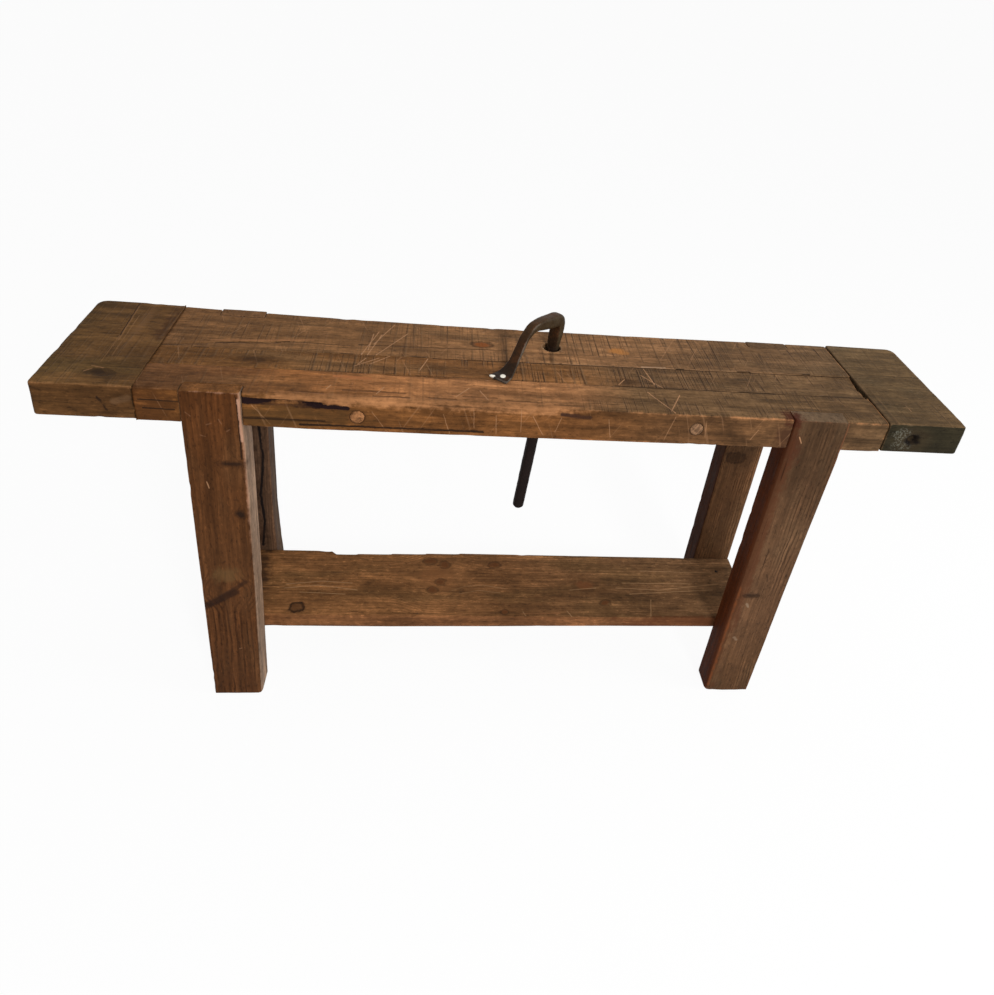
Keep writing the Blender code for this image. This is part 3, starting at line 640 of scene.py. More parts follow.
class Carver:
    # moves the points of a timber the way use and weather do
    def __init__(self, piece, shape, box):
        self.mesh = piece.data
        self.shape = shape
        self.co = readVectors(self.mesh.vertices, "co")
        self.out = readVectors(self.mesh.vertex_normals, "vector")
        self.run = self.co[:, "xyz".index(shape["grain"])].copy()
        low, high = (np.array(corner, float) for corner in shape.get("box", box))
        self.lows = np.tile(low, (len(self.co), 1))
        self.highs = np.tile(high, (len(self.co), 1))
        for key, edge in (("frontEdge", self.lows), ("backEdge", self.highs)):
            if key in shape:
                left, right = shape[key]
                share = (self.co[:, 0] - low[0]) / (high[0] - low[0])
                edge[:, 1] = left + (right - left) * share
        self.toLow = self.co - self.lows
        self.toHigh = self.highs - self.co
        for face in shape.get("sharp", []):     # faces whose arrises stay square
            self.square(self.gap(face) < carving["snap"])
            self.gap(face)[:] = 1.0
        self.near = np.minimum(self.toLow, self.toHigh)
        self.arris = np.sort(np.abs(self.near), axis=1)[:, 1]
        self.start = self.co.copy()

    def gap(self, face):
        # distance in from a face such as "-y"
        axis = "xyz".index(face[1])
        return (self.toLow if face[0] == "-" else self.toHigh)[:, axis]

    def square(self, close):
        # takes out the grid's own rounding
        for bounds, gaps in ((self.lows, self.toLow), (self.highs, self.toHigh)):
            for axis in range(3):
                snap = close & (np.abs(gaps[:, axis]) < carving["snap"])
                self.co[snap, axis] = bounds[snap, axis]

    def roundArrises(self):
        radius = self.shape["arris"] * (1.0 + 0.5 * ripples(self.run, self.shape["seed"]))
        if "arrisBelow" in self.shape:
            height = self.shape["arrisBelow"]
            radius = radius * (1 - easeArray(self.co[:, 2], height - 0.010, height))
        inward = np.where(self.toLow < self.toHigh, 1.0, -1.0)
        over = np.clip(radius[:, None] - self.near, 0.0, None)
        over[self.near < -carving["faceReach"]] = 0.0
        length = np.linalg.norm(over, axis=1)
        push = np.clip(length - radius, 0.0, None) / np.maximum(length, 1e-9)
        self.co += inward * over * push[:, None]

    def roundEdges(self):
        # one arris at a time, such as "-y+z"
        for faces, radius in self.shape.get("rounds", []):
            overs = [np.clip(radius - self.gap(face), 0.0, None) for face in (faces[:2], faces[2:])]
            length = np.hypot(*overs)
            push = np.clip(length - radius, 0.0, None) / np.maximum(length, 1e-9)
            for face, over in zip((faces[:2], faces[2:]), overs):
                self.co[:, "xyz".index(face[1])] += over * push * (1 if face[0] == "-" else -1)

    def bruise(self):
        draw = np.random.default_rng(self.shape["seed"] + 50)
        spots = np.flatnonzero(self.arris < carving["bruiseReach"])
        for index in range(self.shape.get("bruises", 0)):
            spot = draw.choice(spots)
            size = draw.uniform(*carving["bruiseSize"])
            far = np.linalg.norm(self.co - self.co[spot], axis=1) / size
            depth = draw.uniform(*carving["bruiseDepth"])
            self.co -= self.out * (np.clip(1 - far * far, 0, 1) ** 2 * depth)[:, None]

    def split(self):
        for start, end, width, depth in self.shape.get("splits", []):
            start = np.array(start)
            way = np.array(end) - start
            share = np.clip((self.start - start) @ way / (way @ way), 0.0, 1.0)
            far = np.linalg.norm(self.start - start - share[:, None] * way, axis=1)
            taper = np.sin(np.pi * np.clip(share, 0.04, 0.96))
            self.co -= self.out * (depth * taper * (1 - easeArray(far, width * 0.3, width)))[:, None]

    def hollow(self):
        for at, size, depth in self.shape.get("hollows", []):
            far = np.linalg.norm((self.start - np.array(at)) / np.array(size), axis=1)
            self.co -= self.out * (depth * np.clip(1 - far * far, 0, 1) ** 2)[:, None]

    def lean(self):
        # a face that is not quite straight: shifts at places along an axis
        for face, along, stops, fade in self.shape.get("leans", []):
            places, shifts = zip(*stops)
            shift = np.interp(self.start[:, "xyz".index(along)], places, shifts)
            share = 1 - easeArray(np.abs(self.gap(face)), 0.0, fade)
            self.co[:, "xyz".index(face[1])] += shift * share

    def finish(self):
        for step in (self.roundArrises, self.roundEdges, self.bruise, self.split, self.hollow, self.lean):
            step()
        self.mesh.vertices.foreach_set("co", self.co.astype(np.float32).ravel())
        value = np.exp(-self.arris / carving["wearReach"]) * carving["wornArris"]
        # paler bands along listed arrises: worn arrises, and on the right block also painted light
        for faces, reach, span in self.shape.get("wornAndLitEdges", []):
            far = np.hypot(self.gap(faces[:2]), self.gap(faces[2:]))
            strength = np.interp(self.run, *zip(*span))
            value = np.maximum(value, np.exp(-(far / reach) ** 2) * strength)
        wear = self.mesh.attributes.new("wear", "FLOAT", "POINT")
        wear.data.foreach_set("value", value.astype(np.float32))
        self.mesh.update()


timberSkin = skinTree()


def makeTimber(label, timber):
    shape, node = timber["shape"], timber["node"]
    piece = onGrid(solidCopy(label, node), shape.get("grid", carving["grid"]))
    Carver(piece, shape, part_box(node)).finish()
    grain = shape["grain"]
    dress(piece, timberSkin, {
        "Ripple": carving["ripple"],
        "Scale": [carving["alongScale" if axis == grain else "acrossScale"] for axis in "xyz"],
        "Fuzz": carving["fuzz"],
        "Seed": float(shape["seed"]),
        "Finish": Timber(label + "Finish", {**timber["finish"], "grain": grain}).material})
    piece.data.shade_smooth()
    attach(piece, "bench")
    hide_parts(node)
    print("timber:", label, len(piece.data.polygons), "faces")


# the top: three planks and two end blocks

topLeft, topFront = -0.714, -0.1595
topLow, topHigh = 0.737, 0.805
blockTop = 0.808
blockFront = -0.1615
legFront = -0.1615
legBack = 0.1015        # front face of the back legs
shelfTop = 0.1865
surfaces = {
    "top": ("z", topHigh), "front": ("y", topFront), "blockTop": ("z", blockTop),
    "blockFront": ("y", blockFront), "legFront": ("y", legFront), "legBack": ("y", legBack),
    "shelf": ("z", shelfTop)}
# dark lines of cracks, seams and grime; also painted shadow along the back plank's step
dirtAndShade = (0.022, 0.011, 0.006)
scratchTint = (0.42, 0.22, 0.11)
flaw = (0.070, 0.030, 0.013)


def plankBox(front, back, right):
    return ((topLeft, front, topLow), (right, back, topHigh))


def marks(surface, width, share, colour, depth, *ends):
    # marks of one kind on one surface: each from a spot to a spot, some with a width of their own
    axis, level = surfaces[surface]
    made = []
    for u0, v0, u1, v1, *own in ends:
        spots = [(u, v, level) if axis == "z" else (u, level, v) for u, v in ((u0, v0), (u1, v1))]
        made.append((*spots, own[0] if own else width, share, colour, depth))
    return made


frontPlank = {
    "node": "top_front_board", "slot": "plank_wood",
    "shape": {
        "grain": "x", "seed": 11, "arris": 0.0012, "box": plankBox(topFront, -0.0635, 0.711),
        "backEdge": (-0.0735, -0.0635), "sharp": ["-x", "+y"], "bruises": 26, "grid": 0.0025,
        "wornAndLitEdges": [
            ("-y+z", 0.024, [
                (-0.72, 0.1), (-0.56, 0.3), (-0.46, 1.0), (0.02, 1.1), (0.12, 0.45), (0.72, 0.2)]),
            ("-y+z", 0.005, [(-0.72, 0.5), (-0.5, 0.95), (0.1, 1.0), (0.72, 0.9)]),
            ("+x+z", 0.0045, [(0.0, 0.0), (0.7, 1.1)])],
        "splits": [
            ((-0.535, topFront, 0.788), (-0.375, topFront, 0.785), 0.0085, 0.0075),
            ((-0.44, topFront, 0.742), (-0.14, topFront, 0.745), 0.003, 0.0012)],
        "leans": [
            ("-z", "x", [
                (-0.66, 0.0), (-0.42, -0.0045), (-0.2, -0.0038), (0.1, -0.0028), (0.35, -0.0012),
                (0.6, 0.0)], 0.02)]},
    "finish": {
        "seed": 1.0,
        "tint": [
            (-0.72, (0.14, 0.062, 0.025)), (-0.56, (0.19, 0.08, 0.03)), (-0.46, (0.345, 0.137, 0.045)),
            (-0.15, (0.316, 0.139, 0.055)), (0.06, (0.28, 0.126, 0.051)), (0.2, (0.15, 0.082, 0.037)),
            (0.72, (0.132, 0.076, 0.036))],
        "streak": 2.0, "fibre": 1.3, "mottle": 2.6, "cool": (0.14, 0.076, 0.033), "coolShare": 0.4,
        "faces": [
            ("y", -1, [
                (-0.72, (0.116, 0.042, 0.011)), (-0.5, (0.17, 0.069, 0.018)), (-0.3, (0.146, 0.057, 0.016)),
                (-0.15, (0.14, 0.054, 0.015)), (0.05, (0.142, 0.055, 0.016)), (0.25, (0.112, 0.05, 0.019)),
                (0.5, (0.104, 0.05, 0.021)), (0.72, (0.1, 0.056, 0.026))], 0.92)],
        "worn": (0.37, 0.165, 0.066), "wornShare": 0.9, "kerfs": 0.85,
        "kerfSpan": [(-0.72, 0.3), (-0.4, 0.25), (0.05, 0.35), (0.18, 1.0), (0.72, 1.0)], "scratches": 0.16,
        "endTint": (0.15, 0.085, 0.042),
        "rims": [
            ((-0.332, topFront, 0.764), 0.0138, 0.0016, (0.06, 0.026, 0.011), 0.7),
            ((0.3135, topFront, 0.772), 0.0138, 0.0016, (0.055, 0.028, 0.013), 0.7)],
        "strokes": [
            *marks(
                "front", 0.001, 0.42, scratchTint, 0.0, (-0.177, 0.78, -0.163, 0.738),
                (-0.122, 0.801, -0.118, 0.752), (-0.079, 0.782, -0.0755, 0.741),
                (-0.033, 0.802, -0.029, 0.748), (-0.01, 0.785, 0.014, 0.743), (0.045, 0.784, 0.036, 0.751),
                (0.136, 0.785, 0.145, 0.745), (0.266, 0.799, 0.253, 0.744), (0.329, 0.798, 0.334, 0.755),
                (0.44, 0.778, 0.428, 0.753), (-0.306, 0.778, -0.28, 0.738), (-0.523, 0.789, -0.486, 0.741)),
            *marks("front", 0.009, 2.2, (0.014, 0.006, 0.006), 1.0, (-0.537, 0.789, -0.4, 0.786)),
            *marks("front", 0.0058, 2.0, (0.014, 0.006, 0.006), 1.0, (-0.45, 0.785, -0.35, 0.783)),
            *marks(
                "front", 0.002, 0.8, dirtAndShade, 1.0, (-0.53, 0.752, -0.39, 0.753), (-0.706, 0.782, -0.64, 0.78),
                (-0.7, 0.764, -0.648, 0.763)),
            *marks("front", 0.0034, 0.9, dirtAndShade, 1.0, (-0.434, 0.743, -0.1, 0.744)),
            *marks("front", 0.006, 0.8, (0.03, 0.013, 0.01), 0.5, (0.045, 0.792, 0.098, 0.787)),
            *marks("top", 0.007, 0.9, (0.4, 0.15, 0.055), 0.2, (-0.38, -0.086, -0.318, -0.089)),
            *marks(
                "top", 0.003, 0.6, flaw, 0.8, (-0.36, -0.132, -0.25, -0.134, 0.0045),
                (-0.14, -0.134, -0.08, -0.135, 0.004), (-0.44, -0.145, -0.395, -0.146, 0.0035),
                (-0.305, -0.147, -0.24, -0.148), (-0.205, -0.144, -0.155, -0.146, 0.0032),
                (-0.06, -0.141, 0.005, -0.142, 0.0035), (0.03, -0.147, 0.085, -0.147)),
            *marks(
                "top", 0.0015, 0.9, scratchTint, 0.0, (-0.39, -0.131, -0.384, -0.118),
                (-0.3, -0.14, -0.288, -0.116), (-0.155, -0.137, -0.13, -0.104),
                (-0.095, -0.142, -0.11, -0.112), (0.265, -0.155, 0.225, -0.085),
                (0.258, -0.15, 0.29, -0.09)),
            *marks("top", 0.0016, 0.8, dirtAndShade, 1.0, (0.1, -0.0685, 0.705, -0.0645))],
        "stainsAndShadows": [
            ((-0.68, -0.16, 0.765), (0.06, 0.03, 0.05), (0.07, 0.026, 0.008), 0.7),
            ((-0.46, -0.16, 0.76), (0.14, 0.03, 0.03), (0.08, 0.04, 0.014), 0.5),
            ((0.5, topFront, 0.765), (0.03, 0.02, 0.05), (0.05, 0.02, 0.01), 0.8),
            ((0.502, -0.145, topHigh), (0.024, 0.022, 0.03), (0.06, 0.016, 0.008), 0.9)]}}

middlePlank = {
    "node": "top_middle_board", "slot": "plank_wood",
    "shape": {
        "grain": "x", "seed": 12, "arris": 0.001, "box": plankBox(-0.0727, 0.0223, 0.704),
        "frontEdge": (-0.0727, -0.0627), "backEdge": (-0.0087, 0.0223), "sharp": ["-x", "-y", "+y"],
        "wornAndLitEdges": [("+x+z", 0.0045, [(0.0, 0.0), (0.69, 1.3)])], "bruises": 16, "grid": 0.0025,
        "leans": [("+x", "y", [(-0.063, 0.0), (0.022, 0.0062)], 0.03)]},
    "finish": {
        "seed": 2.0, "wornShare": 0.7, "streak": 2.0, "fibre": 1.3,
        "kerfSets": [(34.0, 4.0, 0.8, 0.0036), (64.0, 7.0, 0.9, 0.0021), (135.0, 12.0, 0.7, 0.001)],
        "tint": [
            (-0.72, (0.142, 0.063, 0.021)), (-0.45, (0.16, 0.07, 0.023)), (-0.2, (0.224, 0.097, 0.034)),
            (0.05, (0.234, 0.103, 0.036)), (0.22, (0.15, 0.079, 0.036)), (0.72, (0.133, 0.076, 0.036))],
        "kerfs": 1.0, "kerfSpan": [(-0.72, 0.5), (-0.5, 0.8), (-0.3, 1.0), (0.72, 1.0)], "scratches": 0.3,
        "endTint": (0.14, 0.08, 0.04),
        "knots": [
            {"at": (-0.534, -0.042, topHigh), "size": (0.032, 0.013, 0.05), "dark": 0.55, "ring": 0.2},
            {"at": (0.189, -0.051, topHigh), "size": (0.018, 0.011, 0.05), "dark": 0.5, "ring": 0.2}],
        "strokes": [
            *marks(
                "top", 0.0015, 0.9, scratchTint, 0.0, (-0.275, 0.011, -0.321, -0.034),
                (-0.306, -0.009, -0.35, -0.045), (-0.211, -0.002, -0.225, -0.047),
                (-0.331, -0.012, -0.344, -0.037), (0.236, 0.008, 0.247, -0.055),
                (0.225, -0.02, 0.262, -0.066), (0.17, -0.062, 0.186, -0.04)),
            *marks("top", 0.0022, 0.8, dirtAndShade, 1.0, (-0.2, 0.0012, 0.7, 0.0212))]}}

backPlank = {
    "node": "top_back_board", "slot": "plank_wood",
    "shape": {
        "grain": "x", "seed": 13, "arris": 0.001, "box": plankBox(-0.0079, 0.1555, 0.709),
        "frontEdge": (-0.0079, 0.0231), "sharp": ["-x", "-y"], "bruises": 20, "grid": 0.003,
        "wornAndLitEdges": [("+x+z", 0.0045, [(0.0, 0.0), (0.69, 1.1)])],
        "splits": [
            ((-0.716, -0.004, topHigh), (-0.6, 0.022, topHigh), 0.005, 0.0015),
            ((-0.62, 0.019, topHigh), (-0.44, 0.041, topHigh), 0.0055, 0.0022)],
        "leans": [
            ("+y", "x", [
                (-0.714, 0.005), (-0.655, 0.002), (-0.6, 0.0), (-0.4, -0.004), (-0.15, -0.006),
                (0.1, -0.003), (0.3, 0.0), (0.5, 0.003), (0.66, 0.005)], 0.04),
            ("+z", "x", [(0.2, 0.0), (0.71, 0.003)], 0.03)]},
    "finish": {
        "seed": 3.0, "wornShare": 0.6, "streak": 2.0, "fibre": 1.3,
        "tint": [
            (-0.72, (0.172, 0.082, 0.033)), (-0.4, (0.185, 0.089, 0.036)), (-0.15, (0.28, 0.136, 0.057)),
            (0.1, (0.27, 0.133, 0.058)), (0.35, (0.2, 0.103, 0.047)), (0.72, (0.133, 0.077, 0.038))],
        "kerfs": 0.9, "kerfSpan": [(-0.72, 0.45), (-0.3, 0.6), (0.0, 0.9), (0.2, 1.0), (0.72, 1.0)],
        "scratches": 0.3, "endTint": (0.13, 0.078, 0.04),
        "strokes": [
            # partly painted shadow: the dark line under the step along the back plank's left split
            *marks("top", 0.0022, 0.9, dirtAndShade, 1.5, (-0.715, -0.004, -0.619, 0.016)),
            *marks("top", 0.003, 1.0, dirtAndShade, 2.0, (-0.619, 0.016, -0.486, 0.037)),
            *marks(
                "top", 0.0018, 0.7, dirtAndShade, 1.0, (-0.486, 0.037, -0.359, 0.033),
                (-0.35, 0.04, -0.04, 0.052, 0.0022)),
            # painted highlight: the lit upper edge of that step
            *marks("top", 0.0028, 0.8, (0.33, 0.15, 0.066), 0.0, (-0.63, 0.024, -0.44, 0.048)),
            *marks("top", 0.0016, 0.6, (0.3, 0.17, 0.09), 0.0, (0.02, 0.0092, 0.7, 0.024)),
            *marks("top", 0.0034, 0.9, (0.4, 0.25, 0.15), 0.0, (0.235, 0.0158, 0.285, 0.0168)),
            *marks("top", 0.0016, 0.5, dirtAndShade, 0.8, (0.02, 0.048, 0.66, 0.075)),
            *marks(
                "top", 0.0015, 0.9, scratchTint, 0.0, (-0.315, 0.1, -0.344, -0.01),
                (-0.308, 0.087, -0.331, -0.005), (-0.325, 0.089, -0.33, 0.02), (-0.255, 0.1, -0.313, 0.002),
                (-0.285, 0.136, -0.321, 0.046))],
        "knots": [
            {
                "at": (-0.101, 0.072, topHigh), "size": (0.022, 0.013, 0.05), "dark": 0.2, "glow": 0.9,
                "glowTint": (0.3, 0.09, 0.024)},
            {
                "at": (0.194, 0.078, topHigh), "size": (0.03, 0.017, 0.05), "dark": 0.0, "glow": 0.9,
                "ring": 0.15, "halo": 0.0, "glowTint": (0.43, 0.175, 0.048)}],
        "rims": [((0.049, 0.079, topHigh), 0.0215, 0.0024, (0.33, 0.19, 0.1), 0.8)],
        "stainsAndShadows": [((0.046, 0.075, 0.765), (0.032, 0.032, 0.036), (0.11, 0.032, 0.018), 1.0)]}}

leftBlock = {
    "node": "left_end_block", "slot": "block_wood",
    "shape": {
        "grain": "x", "seed": 14, "arris": 0.0014, "bruises": 14, "sharp": ["+x"],
        "box": ((-0.8805, blockFront, 0.74), (-0.714, -blockFront, blockTop)),
        "hollows": [((-0.767, blockFront, 0.77), (0.01, 0.01, 0.016), 0.0022)]},
    "finish": {
        "seed": 4.0, "streak": 1.9, "fibre": 1.4, "cool": (0.087, 0.053, 0.019), "coolShare": 0.5,
        "wornShare": 0.3,
        "tint": [
            (-0.885, (0.082, 0.042, 0.014)), (-0.84, (0.115, 0.057, 0.02)),
            (-0.714, (0.133, 0.063, 0.022))],
        "faces": [("y", -1, even((0.09, 0.039, 0.013)), 0.85)], "endTint": (0.08, 0.04, 0.016),
        "kerfs": 0.4,
        "knots": [{"at": (-0.781, -0.117, blockTop), "size": (0.022, 0.012, 0.04), "dark": 0.8}],
        "strokes": [
            *marks("blockTop", 0.0019, 0.7, dirtAndShade, 1.2, (-0.8023, 0.1546, -0.7925, 0.016)),
            *marks("blockTop", 0.0022, 0.7, (0.24, 0.12, 0.05), 0.0, (-0.799, 0.14, -0.789, 0.0)),
            *marks("blockTop", 0.0014, 0.6, (0.24, 0.12, 0.05), 0.0, (-0.786, 0.1, -0.78, -0.06)),
            *marks(
                "blockTop", 0.0016, 0.8, (0.26, 0.13, 0.06), 0.0, (-0.8, -0.098, -0.778, -0.104),
                (-0.806, -0.118, -0.796, -0.108)),
            *marks("blockTop", 0.0012, 0.6, (0.24, 0.12, 0.05), 0.5, (-0.7925, 0.016, -0.79, -0.083)),
            *marks("blockFront", 0.0035, 0.8, dirtAndShade, 1.0, (-0.7715, 0.783, -0.76, 0.758)),
            *marks("blockFront", 0.009, 0.6, (0.15, 0.078, 0.036), 0.0, (-0.745, 0.776, -0.722, 0.784))],
        "stainsAndShadows": [
            ((-0.722, 0.06, blockTop), (0.016, 0.1, 0.02), (0.062, 0.026, 0.01), 0.8),
            ((-0.77, 0.05, blockTop), (0.014, 0.09, 0.02), (0.21, 0.105, 0.045), 0.45)]}}

rightBlock = {
    "node": "right_end_block", "slot": "block_wood",
    "shape": {
        # partly painted light: the left top arris and the low -X wall beside it get no light and are painted
        # paler, as a worn arris
        "grain": "x", "seed": 15, "arris": 0.0012, "bruises": 14, "wornAndLitEdges": [("-x+z", 0.005, even(1.2))],
        "box": ((0.712, blockFront, 0.74), (0.8805, -blockFront, blockTop)),
        "hollows": [((0.77, blockFront, 0.772), (0.016, 0.02, 0.014), 0.012)],
        "leans": [("+z", "y", [(-0.16, 0.0), (0.16, 0.003)], 0.03)]},
    "finish": {
        # deep is near-black here and also serves as painted shade in the rotten hole
        "seed": 5.0, "streak": 1.6, "fibre": 1.2, "mottle": 1.6, "deep": (0.006, 0.004, 0.003),
        "cool": (0.11, 0.082, 0.045), "coolShare": 0.4, "wornShare": 0.35, "worn": (0.23, 0.142, 0.074),
        "tint": [(0.7, (0.12, 0.073, 0.035)), (0.885, (0.114, 0.069, 0.032))],
        "faces": [("y", -1, even((0.023, 0.019, 0.01)), 0.97)], "endTint": (0.07, 0.047, 0.024),
        "kerfs": 0.35,
        # partly painted shade: the rotten hole's core is painted near-black for the shadow inside it
        "knots": [{
            "at": (0.77, blockFront, 0.772), "size": (0.024, 0.02, 0.019), "dark": 1.0, "ring": 0.0}],
        "strokes": [
            *marks(
                "blockTop", 0.0012, 0.7, scratchTint, 0.0, (0.772, -0.098, 0.792, -0.098),
                (0.782, -0.112, 0.782, -0.086))],
        "crusts": [
            ((0.744, blockFront, 0.784), (0.022, 0.01, 0.017), (0.14, 0.137, 0.108), 0.85),
            ((0.75, blockFront, 0.758), (0.028, 0.01, 0.011), (0.125, 0.125, 0.096), 0.8)]}}

makeTimber("frontPlank", frontPlank)
makeTimber("middlePlank", middlePlank)
makeTimber("backPlank", backPlank)
makeTimber("leftEndBlock", leftBlock)
makeTimber("rightEndBlock", rightBlock)


# the four legs

legFinish = {
    "tintAxis": "z", "rings": 0.4, "pitch": 0.0064, "heart": (-1.4, 0.05), "wander": 0.026, "lines": 0.2,
    "streak": 1.8, "fibre": 1.1, "mottle": 1.1, "cloud": 0.8, "grit": 0.5, "checks": 0.8, "coolShare": 0.25,
    "worn": (0.24, 0.12, 0.062), "wornShare": 0.5}
legPale = (0.26, 0.13, 0.07)
legShape = {"grain": "z", "arris": 0.0016, "arrisBelow": 0.735, "bruises": 12, "grid": 0.0026}
frontLegShape = {**legShape, "bruises": 16, "grid": 0.0023, "rounds": [("-y+z", 0.0075)]}

frontLeftLeg = {
    "node": "front_left_leg", "slot": "leg_wood",
    "shape": {
        **frontLegShape, "seed": 21,
        "wornAndLitEdges": [
            ("-y+x", 0.006, [(0.0, 0.5), (0.3, 0.8), (0.5, 1.2), (0.8, 1.2)]), ("-y+z", 0.01, even(0.3))],
        "leans": [
            ("+x", "z", [(0.0, -0.003), (0.2, -0.001), (0.35, 0.001), (0.68, 0.002), (0.735, 0.0)], 0.03)]},
    "finish": {
        **legFinish, "seed": 6.0, "cool": (0.085, 0.045, 0.02), "fibre": 0.7, "streak": 2.5, "rings": 0.75,
        "pitch": 0.0105, "wander": 0.032, "ringSpan": ("z", 0.42, 0.26, 0.35),
        "tint": [
            (0.0, (0.102, 0.038, 0.013)), (0.25, (0.097, 0.036, 0.012)), (0.4, (0.09, 0.035, 0.012)),
            (0.8, (0.082, 0.028, 0.008))],
        "faces": [("x", 1, even((0.284, 0.186, 0.122)), 0.9), ("x", -1, even((0.12, 0.055, 0.024)), 0.6)],
        "endTint": (0.18, 0.075, 0.025), "worn": (0.32, 0.165, 0.098), "wornShare": 0.75,
        "knots": [
            {"at": (-0.558, legFront, 0.6487), "size": (0.026, 0.03, 0.006), "dark": 0.75, "ring": 0.2},
            {"at": (-0.55, legFront, 0.526), "size": (0.011, 0.03, 0.01), "dark": 0.85, "ring": 0.3},
            {
                "at": (-0.586, legFront, 0.318), "size": (0.04, 0.03, 0.03), "dark": 0.0, "ring": 0.0,
                "halo": 0.0, "push": 1.0, "reach": 2.2}],
        "strokes": [
            *marks("legFront", 0.013, 0.8, (0.026, 0.011, 0.006), 0.8, (-0.634, 0.278, -0.575, 0.318)),
            *marks("legFront", 0.007, 0.6, (0.034, 0.014, 0.007), 0.6, (-0.6, 0.305, -0.552, 0.348)),
            *marks("legFront", 0.0045, 0.9, (0.42, 0.23, 0.15), 0.2, (-0.538, 0.79, -0.536, 0.7)),
            *marks("legFront", 0.0014, 0.9, dirtAndShade, 1.5, (-0.5415, 0.795, -0.54, 0.66)),
            *marks(
                "legFront", 0.0014, 0.38, legPale, 0.0, (-0.63, 0.76, -0.622, 0.752),
                (-0.596, 0.735, -0.588, 0.738, 0.0016), (-0.574, 0.748, -0.57, 0.738),
                (-0.562, 0.722, -0.557, 0.726, 0.0018), (-0.608, 0.712, -0.6, 0.709),
                (-0.577, 0.148, -0.572, 0.15, 0.0018)),
            *marks("legFront", 0.0014, 0.7, scratchTint, 0.0, (-0.606, 0.605, -0.603, 0.59))],
        "stainsAndShadows": [((-0.585, legFront, 0.366), (0.036, 0.02, 0.03), (0.15, 0.082, 0.031), 0.5)]}}

frontRightLeg = {
    "node": "front_right_leg", "slot": "leg_wood",
    "shape": {
        **frontLegShape, "seed": 22,
        "wornAndLitEdges": [
            ("-y-x", 0.01, [(0.0, 1.0), (0.35, 0.8), (0.5, 0.4), (0.8, 0.3)]), ("-y+z", 0.008, even(0.2)),
            ("-y+x", 0.005, [(0.0, 1.0), (0.6, 0.8), (0.74, 1.3)])],
        "leans": [
            ("+x", "z", [(0.0, -0.002), (0.35, 0.0), (0.5, 0.002), (0.69, 0.005), (0.8, 0.006)], 0.03)]},
    "finish": {
        **legFinish, "seed": 7.0, "rings": 0.6, "pitch": 0.008, "ringSpan": ("x", 0.548, 0.585, 0.15),
        "fibre": 0.8,
        "tint": [
            (0.0, (0.098, 0.046, 0.02)), (0.3, (0.114, 0.056, 0.027)), (0.5, (0.116, 0.058, 0.028)),
            (0.66, (0.076, 0.038, 0.018)), (0.8, (0.074, 0.038, 0.018))],
        "cool": (0.105, 0.068, 0.036), "worn": (0.17, 0.062, 0.026), "wornShare": 0.55,
        # painted shade: the face turned to -X, away from the light, is painted much darker
        "faces": [("x", -1, even((0.068, 0.015, 0.003)), 0.97)], "endTint": (0.142, 0.091, 0.053),
        "stainsAndShadows": [
            ((0.52, legFront, 0.735), (0.02, 0.02, 0.07), (0.058, 0.019, 0.009), 0.85),
            ((0.516, legFront, 0.45), (0.022, 0.02, 0.5), (0.09, 0.03, 0.012), 0.7),
            ((0.514, -0.15, topHigh), (0.02, 0.025, 0.02), (0.06, 0.015, 0.008), 0.9)],
        "knots": [{"at": (0.544, legFront, 0.326), "size": (0.017, 0.03, 0.006), "dark": 0.75}],
        "strokes": [
            *marks("legFront", 0.006, 0.8, (0.19, 0.056, 0.018), 0.0, (0.5125, 0.02, 0.512, 0.35)),
            *marks("legFront", 0.002, 0.7, dirtAndShade, 0.0, (0.563, 0.392, 0.57, 0.372)),
            *marks("legFront", 0.004, 0.6, (0.24, 0.16, 0.1), 0.0, (0.54, 0.3, 0.545, 0.29)),
            *marks("legFront", 0.005, 0.6, (0.23, 0.15, 0.095), 0.0, (0.538, 0.19, 0.545, 0.182)),
            *marks("legFront", 0.0016, 0.7, scratchTint, 0.0, (0.528, 0.766, 0.536, 0.752))]}}

backLeftCrack = [
    (-0.573, 0.735), (-0.571, 0.54), (-0.566, 0.47), (-0.57, 0.415), (-0.577, 0.356), (-0.571, 0.276),
    (-0.579, 0.2)]
backLeftLeg = {
    "node": "back_left_leg", "slot": "leg_wood",
    "shape": {
        **legShape, "seed": 23,
        "leans": [("+x", "z", [(0.0, 0.01), (0.13, 0.008), (0.22, 0.003), (0.3, 0.0), (0.74, 0.0)], 0.04)]},
    "finish": {
        **legFinish, "seed": 8.0, "rings": 0.3,
        "tint": [(0.0, (0.088, 0.046, 0.026)), (0.8, (0.083, 0.044, 0.025))],
        "endTint": (0.165, 0.08, 0.034),
        # partly painted shadow: the dark left part of this front face is the front-left leg's shadow, over a
        # darker wane
        "stainsAndShadows": [((-0.612, legBack, 0.45), (0.04, 0.02, 0.9), (0.028, 0.014, 0.008), 0.95)],
        "strokes": marks(
            "legBack", 0.004, 1.1, (0.01, 0.006, 0.005), 1.5,
            *((*first, *last) for first, last in zip(backLeftCrack, backLeftCrack[1:])))}}

